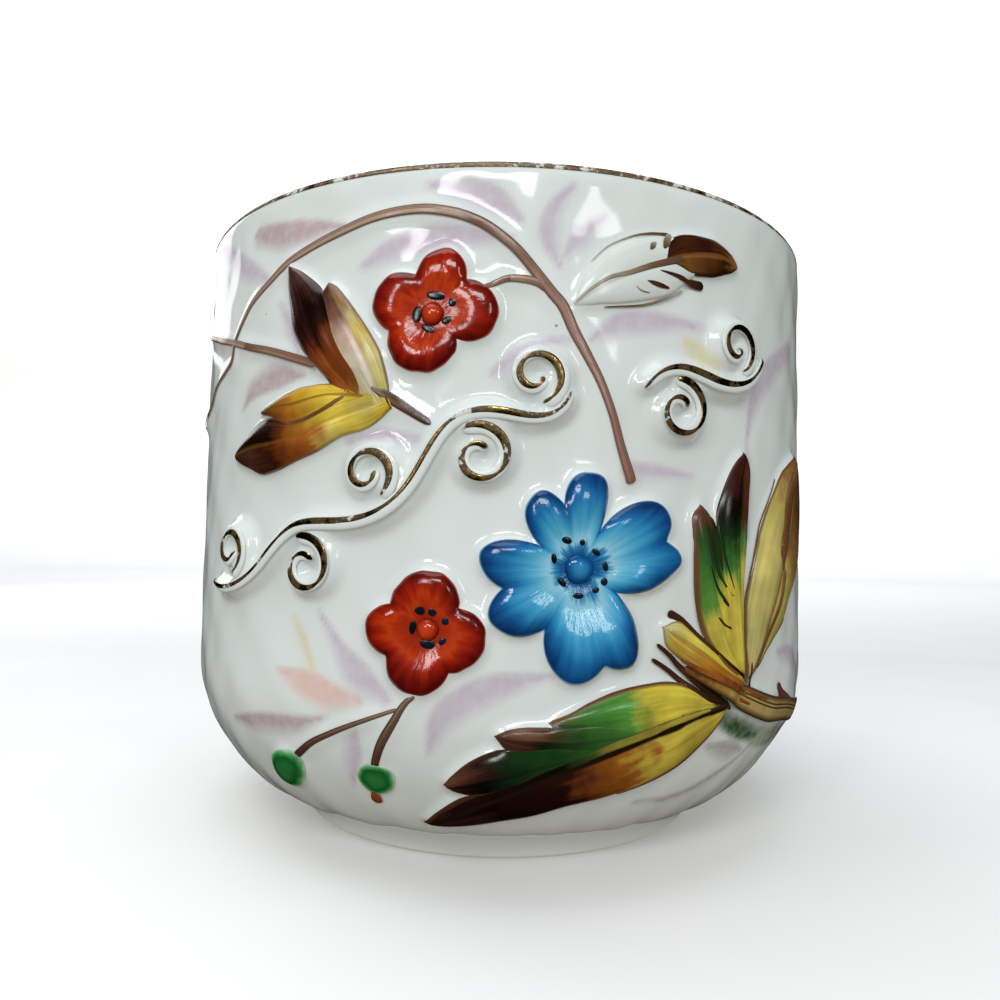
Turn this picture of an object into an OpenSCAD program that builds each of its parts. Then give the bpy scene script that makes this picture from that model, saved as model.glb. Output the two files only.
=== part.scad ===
// Moustache cup: a porcelain cup with a ledge inside the rim that keeps a moustache dry,
// raised sprigs of flowers and leaves on the front, a gilded rim and a loop handle.
// Millimetres, +Z up, origin on the cup's axis at the table. The decorated front faces -Y,
// the handle is at the back (+Y) and a right-handed drinker sips over the ledge at +X.

/* [Cup body] */
// Height from the table to the rim
cup_h = 80; // [76:1:90]
// Outside diameter at the rim
rim_d = 88; // [84:1:96]
// Outside diameter where the straight wall meets the belly
belly_d = 90; // [86:1:98]
// Height where the straight wall meets the belly
belly_z = 21; // [18:1:25]
// How full the belly curve is: 2 is a plain ellipse, less is flatter
belly_fullness = 1.6; // [1.4:0.1:2.2]
// Wall thickness
wall_t = 3; // [2.4:0.2:3.8]
// Floor thickness
floor_t = 4; // [3:0.5:6]

/* [Foot ring] */
// Height of the foot ring
foot_h = 3.8; // [2.6:0.2:4.6]
// Outside diameter where the foot ring meets the belly
foot_top_d = 63; // [58:1:68]
// Outside diameter of the foot ring at the table
foot_d = 59; // [54:1:62]
// Width of the face it stands on
foot_w = 4.5; // [3:0.5:7]

/* [Moustache guard] */
// How far the guard's top lies below the rim
guard_drop = 6; // [4:0.5:12]
// Thickness of the guard
guard_t = 3; // [2.4:0.2:4.5]
// How far the guard's inner edge stands from the cup's axis
guard_x = 13; // [8:1:18]
// Radius of the bow in the guard's inner edge
guard_bow_r = 80; // [60:5:140]
// Width of the drinking slot at its middle
slot_w = 9; // [6:0.5:11]
// Radius of the slot's inner edge
slot_r = 40; // [34:1:60]
// Chamfer that eases the guard's free edges
guard_ease = 0.8; // [0.4:0.1:1.1]

/* [Handle] */
// How far the handle reaches out from the wall
handle_reach = 27; // [24:1:34]
// Height where the handle's upper end joins the wall
handle_top = 61; // [57:1:64]
// Height where the handle's lower end joins the wall
handle_low = 25; // [23:1:30]
// Width of the handle's oval section
handle_w = 9; // [7:0.5:12]
// Depth of the handle's oval section
handle_t = 6; // [5:0.5:7.5]
// How much wider the handle is at the wall
handle_flare = 1.35; // [1:0.05:1.6]

/* [Sprigs] */
// How far the leaves stand off the wall
leaf_rise = 1.6; // [1:0.1:2.2]
// Height of a leaf's edge
leaf_edge = 0.35; // [0.2:0.05:0.6]
// How far the petals stand off the wall
petal_rise = 1.8; // [1.2:0.1:2.4]
// Outside diameter of the red flowers
red_d = 14; // [11.5:0.5:14.5]
// Outside diameter of the blue flower
blue_d = 24; // [19:0.2:24.4]
// Diameter of the flowers' raised centres
centre_d = 3; // [2.4:0.2:3.6]
// Clear space between a flower's centre and its petals
centre_gap = 0.1; // [0.05:0.05:0.3]
// How far the flowers' centres stand off the wall
centre_rise = 1.5; // [1:0.1:1.8]
// Width of the stems
stem_w = 1.3; // [0.9:0.1:1.6]
// Diameter of the buds
bud_d = 5.6; // [4:0.2:6]
// How far the buds stand off the wall
bud_rise = 1.4; // [1:0.1:2]
// Width of the scroll's band
scroll_w = 1.7; // [1.2:0.1:2]
// Diameter of the scroll's curls
curl_d = 6.4; // [5.6:0.2:7]
// How far the scroll's vine swings to each side
scroll_wave = 1.8; // [1:0.2:2.2]

/* [Gilding] */
// Thickness of the gilding on the rim
gilt_t = 0.15; // [0.1:0.05:0.3]

/* [Hidden] */
$fn = 96;

// The sprigs are drawn flat for a cup this high: [mm round from the front, mm up]
drawn_h = 80;
// Film of slip between a sprig's flat back and the wall
slip = 0.02;
rim_r = rim_d / 2;
belly_r = belly_d / 2;
foot_top_r = foot_top_d / 2;
floor_z = foot_h + floor_t;
floor_r = foot_top_r - 2 * wall_t;
guard_z = cup_h - guard_drop;
slot_x = wall_r(guard_z) - wall_t - slot_w;
hole_d = centre_d + 2 * centre_gap;

porcelain = "#eef0f5";
gilt = "#a07a3c";
bark = "#6b4a2c";
green = "#5d7d38";
ochre = "#c8a23c";
red = "#b8341f";
blue = "#3c62a8";
lilac = "#d9d0dd";

// Radius along a belly curve that opens from r0 to r1 while t runs from 0 to 1
function belly_curve(r0, r1, t) = let(s = 1 - min(1, max(0, t)))
    r0 + (r1 - r0) * pow(1 - pow(s, belly_fullness), 1 / belly_fullness);

// Outside radius of the cup at height z
function wall_r(z) = z < belly_z
    ? belly_curve(foot_top_r, belly_r, (z - foot_h) / (belly_z - foot_h))
    : belly_r + (rim_r - belly_r) * (z - belly_z) / (cup_h - wall_t / 2 - belly_z);

// Space point for a drawn point p, lifted off the wall along the wall's own slope
function on_wall(p, lift) = let(
    z = p[1] * cup_h / drawn_h,
    turn = p[0] / belly_r * 180 / PI,
    tilt = atan2(wall_r(z + 0.2) - wall_r(z - 0.2), 0.4),
    r = wall_r(z) + (slip + lift) * cos(tilt))
    [r * sin(turn), -r * cos(turn), z - (slip + lift) * sin(tilt)];

// Point at u (0 to 1) on a smooth line through the control points c
function along(c, u) = let(
    n = len(c) - 1, k = min(n - 1, floor(u * n)), t = u * n - k,
    a = c[max(0, k - 1)], b = c[k], d = c[k + 1], e = c[min(n, k + 2)])
    b + (d - a) * t / 2 + (2 * a - 5 * b + 4 * d - e) * t * t / 2
    + (3 * b - a - 3 * d + e) * t * t * t / 2;

// Direction of that line at u
function heading(c, u) = let(d = along(c, min(1, u + 0.01)) - along(c, max(0, u - 0.01))) d / norm(d);

// Left-hand normal of a drawn direction
function left(d) = [-d[1], d[0]];

// Solid swept through closed rings of points
module tube(rings) {
    n = len(rings) - 1;
    k = len(rings[0]);
    polyhedron([for (r = rings) each r], concat(
        [for (i = [0:n - 1]) for (j = [0:k - 1])
            let(a = i * k + j, b = i * k + (j + 1) % k) each [[a, b, b + k], [a, b + k, a + k]]],
        [for (j = [1:k - 2]) each [[0, j + 1, j], [n * k, n * k + j, n * k + j + 1]]]));
}

// Solid between an upper and a lower grid of points; closed joins the last row to the first
module slab(top, low, closed = false) {
    rows = len(top);
    m = len(top[0]) - 1;
    k = rows * (m + 1);
    last = rows - (closed ? 1 : 2);
    polyhedron([for (r = concat(top, low)) each r], concat(
        [for (i = [0:last]) for (j = [0:m - 1])
            let(a = i * (m + 1) + j, d = (i + 1) % rows * (m + 1) + j)
            each [[a, a + 1, d + 1], [a, d + 1, d],
                [a + k, d + 1 + k, a + 1 + k], [a + k, d + k, d + 1 + k]]],
        [for (i = [0:last])
            let(a = i * (m + 1), d = (i + 1) % rows * (m + 1), b = a + m, c = d + m)
            each [[d, a + k, a], [d, d + k, a + k], [b, c + k, c], [b, b + k, c + k]]],
        closed ? [] : [for (j = [0:m - 1]) let(a = j, c = (rows - 1) * (m + 1) + j)
            each [[a, a + 1 + k, a + 1], [a, a + k, a + 1 + k],
                [c + 1, c + k, c], [c + 1, c + 1 + k, c + k]]]));
}

// Half-round stem along the control points c, w0 wide at its start and w1 at its end
module stem(c, w0, w1, steps) tube([for (i = [0:steps]) let(
    u = i / steps, s = left(heading(c, u)), w = (w0 + (w1 - w0) * u) / 2)
    [for (j = [0:4]) on_wall(along(c, u) + s * w * cos(45 * j), w * sin(45 * j))]]);

// Height of a leaf across its width (v from -1 to 1): full flanks and a sunk midrib
function leaf_lift(u, v, rise) = leaf_edge
    + rise * (1 - v * v) * (abs(v) < 0.1 ? 0.72 : 1) * (0.35 + 0.65 * sin(180 * u));

// Leaf along its rib from base to tip, with the widths of its left and right halves at even steps
module leaf(rib, wide_left, wide_right, rise = leaf_rise) {
    steps = 10;
    side = 3;
    function at(u, v) = along(rib, u)
        + left(heading(rib, u)) * v * max(0.04, along(v > 0 ? wide_left : wide_right, u));
    slab([for (i = [0:steps]) [for (j = [-side:side]) let(u = i / steps, v = j / side)
            on_wall(at(u, v), leaf_lift(u, v, rise))]],
        [for (i = [0:steps]) [for (j = [-side:side]) on_wall(at(i / steps, j / side), 0)]]);
}

// Edge of a flower at angle a: [its share of the reach, 1 at a petal's tip and 0 at a notch].
// The edge is drawn as [angle, share of the reach] for tips and notches in turn.
function petal_edge(a, edge) = let(
    n = len(edge), b = (a - edge[0][0] + 720) % 360 + edge[0][0],
    k = max([for (i = [0:n - 1]) edge[i][0] <= b ? i : 0]),
    p = edge[k], q = k == n - 1 ? edge[0] + [360, 0] : edge[k + 1],
    s = (b - p[0]) / (q[0] - p[0]), tipward = k % 2 == 0 ? 1 - s : s,
    tip = k % 2 == 0 ? p[1] : q[1], notch = k % 2 == 0 ? q[1] : p[1])
    [notch + (tip - notch) * (1 - pow(1 - tipward, 2.3)), tipward];

// Height of a petal's cupped face at share q of the way out, where the edge is tipward
function petal_lift(q, tipward) = leaf_edge
    + petal_rise * (0.25 + 0.75 * sin(150 * q) - 0.3 * q * pow(1 - tipward, 2)) * (1 - 0.45 * pow(q, 6));

// Flower round the drawn point c, d across, with an open middle that stays round on any cup
module flower(c, d, edge, rays) {
    m = 5;
    hole = hole_d / 2 * [belly_r / wall_r(c[1] * cup_h / drawn_h), drawn_h / cup_h];
    function at(a, q) = c + q * d / 2 * petal_edge(a, edge)[0] * [cos(a), sin(a)]
        + (1 - q) * [hole[0] * cos(a), hole[1] * sin(a)];
    turns = [for (i = [rays - 1:-1:0]) 360 * i / rays];
    slab([for (a = turns) [for (j = [0:m]) let(q = j / m)
            on_wall(at(a, q), petal_lift(q, petal_edge(a, edge)[1]))]],
        [for (a = turns) [for (j = [0:m]) on_wall(at(a, j / m), 0)]], true);
}

// Round bead d across that stands off the wall by rise, with its back cut to the wall
module bead(p, d, rise) difference() {
    ball_r = (d * d / 4 + rise * rise) / (2 * rise);
    translate(on_wall(p, rise - ball_r)) rotate([90, 0, p[0] / belly_r * 180 / PI])
        sphere(ball_r, $fn = 96);
    outer_form($fn = 360);
}

// Outline of the outer wall from the foot to the rim
wall_line = concat([for (i = [0:20]) let(t = 1 - cos(4.5 * i), z = foot_h + (belly_z - foot_h) * t)
    [wall_r(z), z]], [[rim_r, cup_h - wall_t / 2]]);

// Outline of the hollow from its floor to the rim
hollow_line = concat([[0, floor_z]],
    [for (i = [0:20]) let(t = 1 - cos(4.5 * i))
        [belly_curve(floor_r, belly_r - wall_t, t), floor_z + (belly_z + 2 / 3 * wall_t - floor_z) * t]],
    [[rim_r - wall_t, cup_h - wall_t / 2]]);

// The cup's outside as one plain solid
module outer_form() rotate_extrude()
    polygon(concat([[0, foot_h]], wall_line, [[0, cup_h - wall_t / 2]]));

// The cup's hollow as one plain solid
module hollow() rotate_extrude() polygon(concat(hollow_line, [[0, cup_h - wall_t / 2]]));

module cup_body() color(porcelain) rotate_extrude() polygon(concat(
    [[0, foot_h]], wall_line,
    [for (i = [1:11]) [rim_r - wall_t / 2, cup_h - wall_t / 2]
        + wall_t / 2 * [cos(15 * i), sin(15 * i)]],
    [for (i = [len(hollow_line) - 1:-1:0]) hollow_line[i]]));

module foot_ring() color(porcelain) rotate_extrude() polygon([
    [foot_d / 2 - foot_w, 0], [foot_d / 2 - foot_w / 9, 0], [foot_d / 2, foot_w / 9],
    [foot_top_r, foot_h], [foot_d / 2 - 4 / 3 * foot_w, foot_h]]);

// Upright drum at x with both of its ends flared by the guard's chamfer
module eased_drum(x, r) translate([x, 0, guard_z - guard_t]) {
    translate([0, 0, -1]) cylinder(r = r, h = guard_t + 2);
    translate([0, 0, -0.01]) cylinder(r1 = r + guard_ease, r2 = r, h = guard_ease);
    translate([0, 0, guard_t - guard_ease + 0.01]) cylinder(r1 = r, r2 = r + guard_ease, h = guard_ease);
}

// Ledge across the drinker's side: bowed inner edge, half-moon slot against the wall
module moustache_guard() color(porcelain) difference() {
    intersection() {
        hollow();
        translate([guard_x - rim_r / 2, -rim_r, guard_z - guard_t]) cube([1.5 * rim_r, rim_d, guard_t]);
    }
    eased_drum(guard_x - guard_bow_r, guard_bow_r, $fn = 180);
    eased_drum(slot_x + slot_r, slot_r, $fn = 180);
}

// Ear-shaped centre line of the handle, from its upper end to its lower end: [y, z]
handle_line = let(top = wall_r(handle_top), low = wall_r(handle_low), out = handle_reach,
    tall = handle_top - handle_low, mid = handle_low + tall / 2)
    [[top - handle_t / 3, handle_top - 0.06 * tall], [top + 0.22 * out, handle_top + 0.07 * tall],
    [top + 0.56 * out, handle_top + 0.11 * tall], [top + 0.81 * out, handle_top],
    [(top + low) / 2 + out - handle_t / 2, mid + 0.22 * tall], [low + 0.81 * out, mid - 0.19 * tall],
    [low + 0.52 * out, handle_low - 0.01 * tall], [low + 0.22 * out, handle_low - 0.08 * tall],
    [low - handle_t / 3, handle_low - 0.08 * tall]];

// How much the oval grows towards the wall at u of the handle's length
function flare(u) = 1 + (handle_flare - 1) * pow(abs(2 * u - 1), 6);

// Oval section of the handle at u of its length
function handle_ring(u) = let(p = along(handle_line, u), s = left(heading(handle_line, u)))
    [for (j = [0:15]) let(q = p + s * flare(u) * handle_t / 2 * cos(22.5 * j))
        [flare(u) * handle_w / 2 * sin(22.5 * j), q[0], q[1]]];

// The same ring pushed onto the cup's wall
function seated(ring) = [for (p = ring) [p[0], sqrt(pow(wall_r(p[2]) + slip, 2) - p[0] * p[0]), p[2]]];

// Loop handle: the oval swept along its line, with both ends laid on the wall
module handle() color(porcelain) tube([for (i = [0:40])
    i == 0 || i == 40 ? seated(handle_ring(i / 40)) : handle_ring(i / 40)]);

module rim_gilding() color(gilt) rotate_extrude() translate([rim_r - wall_t / 2, cup_h - wall_t / 2])
    intersection() {
        difference() {
            circle(d = wall_t + 2 * gilt_t, $fn = 48);
            circle(d = wall_t + slip, $fn = 48);
        }
        translate([-wall_t, 0]) square([2 * wall_t, wall_t]);
    }

// Stem that arches over the front, with the twig it crosses and the red flower's branch
module arch_stem() color(bark) {
    stem([[-60, 52], [-51, 56], [-44.1, 58.9], [-38.9, 61.4], [-36.1, 65.6], [-30.4, 69.2], [-20, 72.9],
        [-10.5, 74.6], [-3.6, 73.3], [1, 70.2], [6.2, 64.2], [10.4, 56.5], [12.5, 50], [14.2, 45.6]],
        stem_w * 0.7, stem_w, 65);
    stem([[-50, 66.4], [-46, 65.4], [-39.6, 63.7]], stem_w * 0.6, stem_w * 0.7, 7);
    stem([[-36.4, 63], [-30, 61.2], [-23.4, 59.2]], stem_w * 0.7, stem_w * 0.8, 12);
    stem([[2.4, 66.9], [0.6, 67], [-1.1, 66.5]], stem_w * 0.7, stem_w * 0.5, 6);
}

module leaf_twig() color(bark)
    stem([[-12.4, 54.6], [-10.5, 53.3], [-8.4, 52.1]], stem_w * 0.8, stem_w * 0.6, 8);

module leaf_left_upper() color(bark)
    leaf([[-16.8, 55.5], [-19.4, 58.3], [-21.9, 62], [-23.6, 66], [-26.1, 69.7]],
        [0.2, 1.6, 2.5, 2.6, 0.1], [0.2, 1.7, 2.7, 2.5, 0.1]);

module leaf_left_inner() color(ochre)
    leaf([[-13.5, 55.6], [-15.4, 59], [-17.2, 62.5], [-19, 65.5], [-20.5, 67.5]],
        [0.2, 2.1, 2.6, 1.9, 0.1], [0.2, 1.5, 1.1, 0.7, 0.1]);

module leaf_left_middle() color(ochre)
    leaf([[-16.8, 54.9], [-20, 55], [-24, 54.4], [-28, 54.2], [-31, 54]],
        [0.1, 1.2, 1.7, 0.9, 0.1], [0.1, 1.2, 1.9, 0.7, 0.1]);

module leaf_left_lower() color(bark)
    leaf([[-13.4, 54.1], [-18, 52.7], [-22.5, 51], [-27, 50.1], [-32, 49.8], [-36.7, 49]],
        [0.2, 1.9, 2.5, 3.2, 0.1], [0.2, 1.3, 1.6, 2.9, 0.1]);

upper_red = [-7.7, 63.1];
module upper_red_petals() color(red) flower(upper_red, red_d, [[3, 1], [46, 0.73], [78, 1.03],
    [114, 0.67], [158, 1.03], [197, 0.73], [238, 0.91], [315, 0.54]], 48);
module upper_red_centre() color(lilac) bead(upper_red, centre_d, centre_rise);

lower_red = [-7.5, 30];
module lower_red_petals() color(red) flower(lower_red, red_d, [[-14, 0.89], [36, 0.56], [92, 0.89],
    [148, 0.7], [181, 1], [213, 0.76], [250, 1.01], [298, 0.71]], 48);
module lower_red_centre() color(lilac) bead(lower_red, centre_d, centre_rise);

// Each petal of the blue flower is split at its tip
blue_at = [8.1, 36.6];
module blue_petals() color(blue) flower(blue_at, blue_d, [[4, 1.03], [17, 0.88], [29, 1.02], [62, 0.38],
    [86, 0.85], [104, 0.58], [119, 0.77], [150, 0.4], [173, 0.87], [195, 0.68], [212, 0.89], [241, 0.6],
    [270, 1.01], [286, 0.88], [300, 1], [329, 0.4]], 72);
module blue_centre() color(lilac) bead(blue_at, centre_d, centre_rise);

module leaf_upper_right() color(porcelain)
    leaf([[7.6, 64.7], [10, 66.2], [13.5, 68.1], [17, 69.8], [20.4, 70.9], [24.6, 71.6], [29.4, 71.8]],
        [0.2, 2.3, 3.2, 2.5, 0.1], [0.2, 2.7, 3.6, 2.6, 0.1]);

// Upright leaf of two lobes
module leaf_right_upright() color(green) {
    leaf([[30.3, 24.7], [29, 30], [28.4, 36], [28.4, 42], [29.3, 47], [30.6, 50.3]],
        [0.2, 2.4, 2.9, 2.2, 0.1], [0.2, 1, 2.1, 2.3, 0.1]);
    leaf([[29.5, 24.9], [26.6, 28.5], [24.8, 33], [23.6, 38], [23.2, 41.5], [23.1, 43.9]],
        [0.2, 2, 1.9, 1.4, 0.1], [0.2, 2, 2.4, 2, 0.1]);
}

module leaf_right_outer() color(ochre)
    leaf([[31.8, 24], [33.5, 28], [35, 31.5], [36.8, 35], [39.6, 39.7], [42.6, 45], [46, 51.4]],
        [0.2, 3.4, 5, 5.4, 0.1], [0.2, 3.2, 5.6, 7, 0.1]);

module leaf_right_small() color(ochre) leaf([[29.8, 23.5], [26.4, 25.3], [22, 28], [18, 30.4]],
    [0.1, 1.9, 2.1, 1.9, 0.1], [0.1, 0.6, 1, 1.5, 0.1]);

// Broad leaf: a long blade and the three lobes above it
module leaf_right_broad() color(green) {
    leaf([[27.4, 21.2], [22, 20.4], [16, 18.9], [9.5, 16.7], [3, 14], [-3, 11], [-9.8, 7.5]],
        [0.2, 5.5, 5.7, 4.2, 0.1], [0.2, 1.1, 1.2, 1.3, 0.1]);
    leaf([[25.4, 21.4], [20, 21.8], [14, 21], [9, 20.6], [5.2, 20.6]],
        [0.2, 2.1, 2.7, 2.6, 0.1], [0.2, 2.3, 2.8, 1.6, 0.1]);
    leaf([[15, 19.4], [9, 18.9], [4, 19], [-0.4, 19.1]],
        [0.3, 1.5, 1.9, 1.7, 0.1], [0.3, 1.5, 1.4, 1.1, 0.1]);
    leaf([[12, 17.8], [6, 16.6], [1, 15.4], [-3, 14.2], [-6.1, 13.3]],
        [0.3, 1.4, 1.8, 1.6, 0.1], [0.3, 2, 2.5, 1.8, 0.1]);
}

module spray_twig() color(ochre)
    stem([[30.6, 20.8], [36, 19.6], [42, 18.5], [49, 17.3], [56, 16.6]], 2 * stem_w, 1.2 * stem_w, 20);

module bud_stem_left() color(bark) stem([[-12.2, 20.9], [-14.1, 20.2], [-18, 18.6], [-21.5, 17],
    [-25.1, 14.7]], stem_w * 0.5, stem_w * 0.8, 12);
module bud_stem_right() color(bark)
    stem([[-9, 22.2], [-11.4, 19.8], [-12.8, 17.8], [-13.6, 16.3]], stem_w * 0.5, stem_w * 0.7, 10);
module bud_left() color(green) bead([-28.3, 12.5], bud_d, bud_rise);
module bud_right() color(green) bead([-14.7, 13.2], bud_d * 0.85, bud_rise);

// Wavy vine of the running scroll, which rises along the control points c
function vine(c, u, bays, way) = along(c, u)
    + left(heading(c, u)) * scroll_wave * way * sin(180 * bays * u);

// Curl that lies in the bay at u, its start laid against the vine
module curl(c, u, bays, way) {
    side = sin(180 * bays * u) * way > 0 ? 1 : -1;
    h = heading(c, u);
    r = curl_d / 2;
    o = vine(c, u, bays, way) - left(h) * side * (r + scroll_w + 0.05);
    a0 = atan2(h[1], h[0]) + 90 * side;
    tube([for (i = [0:22]) let(
        t = i / 22, a = a0 - side * 430 * t, q = r * (1 - 0.72 * t), w = scroll_w / 2 * (1 - 0.35 * t))
        [for (j = [0:4]) on_wall(o + (q + side * w * cos(45 * j)) * [cos(a), sin(a)], w * sin(45 * j))]]);
}

// Running scroll of so many bays; way is 1 where the first bay rises and -1 where it dips
module scroll(c, bays, way, steps) {
    tube([for (i = [0:steps]) let(
        u = i / steps, d = vine(c, min(1, u + 0.01), bays, way) - vine(c, max(0, u - 0.01), bays, way),
        s = left(d / norm(d)), w = scroll_w / 2 * (0.5 + 0.5 * sqrt(sin(180 * u))))
        [for (j = [0:4]) on_wall(vine(c, u, bays, way) + s * w * cos(45 * j), w * sin(45 * j))]]);
    for (k = [0:bays - 1]) curl(c, (k + 0.5) / bays, bays, way);
}

module scroll_left() color(gilt)
    scroll([[-40, 34], [-28, 37], [-18, 41], [-8, 47.6], [0, 52.6], [7, 55]], 5, -1, 56);
module scroll_right() color(gilt) scroll([[15.4, 56], [24, 57.6], [33, 61.6]], 2, 1, 24);

cup_body();
foot_ring();
moustache_guard();
handle();
rim_gilding();
arch_stem();
leaf_twig();
leaf_left_upper();
leaf_left_inner();
leaf_left_middle();
leaf_left_lower();
upper_red_petals();
upper_red_centre();
lower_red_petals();
lower_red_centre();
blue_petals();
blue_centre();
leaf_upper_right();
leaf_right_upright();
leaf_right_outer();
leaf_right_small();
leaf_right_broad();
spray_twig();
bud_stem_left();
bud_stem_right();
bud_left();
bud_right();
scroll_left();
scroll_right();
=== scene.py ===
# %% [markdown]
# A porcelain moustache cup: a thrown cup with moulded flowers and leaves on its front, painted in
# coloured enamels over a white glaze, with worn gold on the rim and on a raised running scroll.
# The CAD part is the fixed frame. Every piece made here lies where its CAD node lies, in metres.

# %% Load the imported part
import math

import bmesh
import bpy
import numpy as np
from mathutils import Matrix, Vector


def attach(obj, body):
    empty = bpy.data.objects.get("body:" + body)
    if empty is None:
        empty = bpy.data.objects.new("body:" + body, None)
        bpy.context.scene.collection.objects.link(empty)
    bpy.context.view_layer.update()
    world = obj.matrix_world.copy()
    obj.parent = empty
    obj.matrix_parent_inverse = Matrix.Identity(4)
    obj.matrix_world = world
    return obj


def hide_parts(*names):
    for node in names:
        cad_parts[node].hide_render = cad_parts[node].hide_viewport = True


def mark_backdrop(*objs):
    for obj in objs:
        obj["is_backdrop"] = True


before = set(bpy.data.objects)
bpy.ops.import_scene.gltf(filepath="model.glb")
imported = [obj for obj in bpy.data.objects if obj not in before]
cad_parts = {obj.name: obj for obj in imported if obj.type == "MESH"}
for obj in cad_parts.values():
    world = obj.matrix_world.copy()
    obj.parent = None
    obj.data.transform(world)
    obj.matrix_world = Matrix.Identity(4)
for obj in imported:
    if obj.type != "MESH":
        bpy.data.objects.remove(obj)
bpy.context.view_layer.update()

# %% [markdown]
# The sprigs are easiest to draw flat, the way a potter lays out a transfer: so many millimetres round
# from the front, so many up. One function then wraps a drawn point onto the cup's wall. Wrapping
# points in numpy keeps every leaf, stem and brush line on the same surface, where a Shrinkwrap
# modifier would have to be tuned for each piece.

# %% The cup's profile and the drawing that wraps round it
MM = 0.001
CUP_H, RIM_R, BELLY_R, BELLY_Z, FULLNESS = 80.0, 44.0, 45.0, 21.0, 1.6
WALL, FLOOR_Z, FOOT_H, FOOT_TOP_R = 3.0, 7.8, 3.8, 31.5
LIP_R = WALL / 2
LIP_Z = CUP_H - LIP_R
# the bend of belly and wall is averaged over these heights: (mm up or down, weight)
BEND_BLUR = ((-3.6, 0.06), (-2.4, 0.12), (-1.2, 0.2), (0, 0.24), (1.2, 0.2), (2.4, 0.12), (3.6, 0.06))
BEND_FADE = 6.0


def belly_curve(r0, r1, t):
    """Radius at a share t of the way up a full belly that swells from r0 to r1."""
    s = 1 - np.clip(t, 0, 1)
    return r0 + (r1 - r0) * (1 - s ** FULLNESS) ** (1 / FULLNESS)


def sharp_radius(z):
    """The wall as thrown: a belly and a straight wall that meet in a bend."""
    straight = BELLY_R + (RIM_R - BELLY_R) * (z - BELLY_Z) / (LIP_Z - BELLY_Z)
    return np.where(z < BELLY_Z, belly_curve(FOOT_TOP_R, BELLY_R, (z - FOOT_H) / (BELLY_Z - FOOT_H)), straight)


def wall_radius(z):
    """The wall with its bend rubbed soft by the sponge, over a few millimetres."""
    z = np.asarray(z, float)
    # full within 3.6 mm of the bend, gone 9.6 mm from it
    near = np.clip(1.6 - np.abs(z - BELLY_Z) / BEND_FADE, 0, 1)
    return sum(weight * sharp_radius(z + reach * near) for reach, weight in BEND_BLUR)


def wall_normal(x, z, step=0.2):
    """Outward direction of the wall at drawn points, from its slope a step up and down."""
    tilt = np.arctan2(wall_radius(z + step) - wall_radius(z - step), 2 * step)
    turn = x / BELLY_R
    return np.stack([np.cos(tilt) * np.sin(turn), -np.cos(tilt) * np.cos(turn), -np.sin(tilt)], -1)


def on_wall(x, z, lift):
    """Metres in space for drawn millimetres x round and z up, lifted off the wall."""
    x, z, lift = np.broadcast_arrays(*(np.asarray(v, float) for v in (x, z, lift)))
    turn, r = x / BELLY_R, wall_radius(z)
    foot = np.stack([r * np.sin(turn), -r * np.cos(turn), z], -1)
    return (foot + wall_normal(x, z) * lift[..., None]) * MM


def smooth_line(points, u):
    """Points at u (0 to 1) on a smooth line through the control points."""
    c = np.asarray(points, float)
    c = c[:, None] if c.ndim == 1 else c
    n = len(c) - 1
    k = np.minimum(n - 1, np.floor(u * n).astype(int))
    t = (u * n - k)[:, None]
    a, b, d, e = c[np.maximum(0, k - 1)], c[k], c[k + 1], c[np.minimum(n, k + 2)]
    return (b + (d - a) * t / 2 + (2 * a - 5 * b + 4 * d - e) * t * t / 2
            + (3 * b - a - 3 * d + e) * t ** 3 / 2)


def headings(line):
    """Unit direction and left-hand normal along a drawn line."""
    ahead = np.gradient(line, axis=0)
    ahead /= np.maximum(np.linalg.norm(ahead, axis=1, keepdims=True), 1e-9)
    return ahead, np.stack([-ahead[:, 1], ahead[:, 0]], -1)


print("wall radius at 10, 40 and 75 mm up:", np.round(wall_radius([10, 40, 75]), 2))

# %% [markdown]
# Every leaf is one blade: a rib from its base to its tip, and the width of its two halves at nine
# even steps along that rib. Widths measured this way keep a real leaf's uneven sides, which a
# mirrored outline would lose. The lobed leaves are several blades that overlap.

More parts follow.
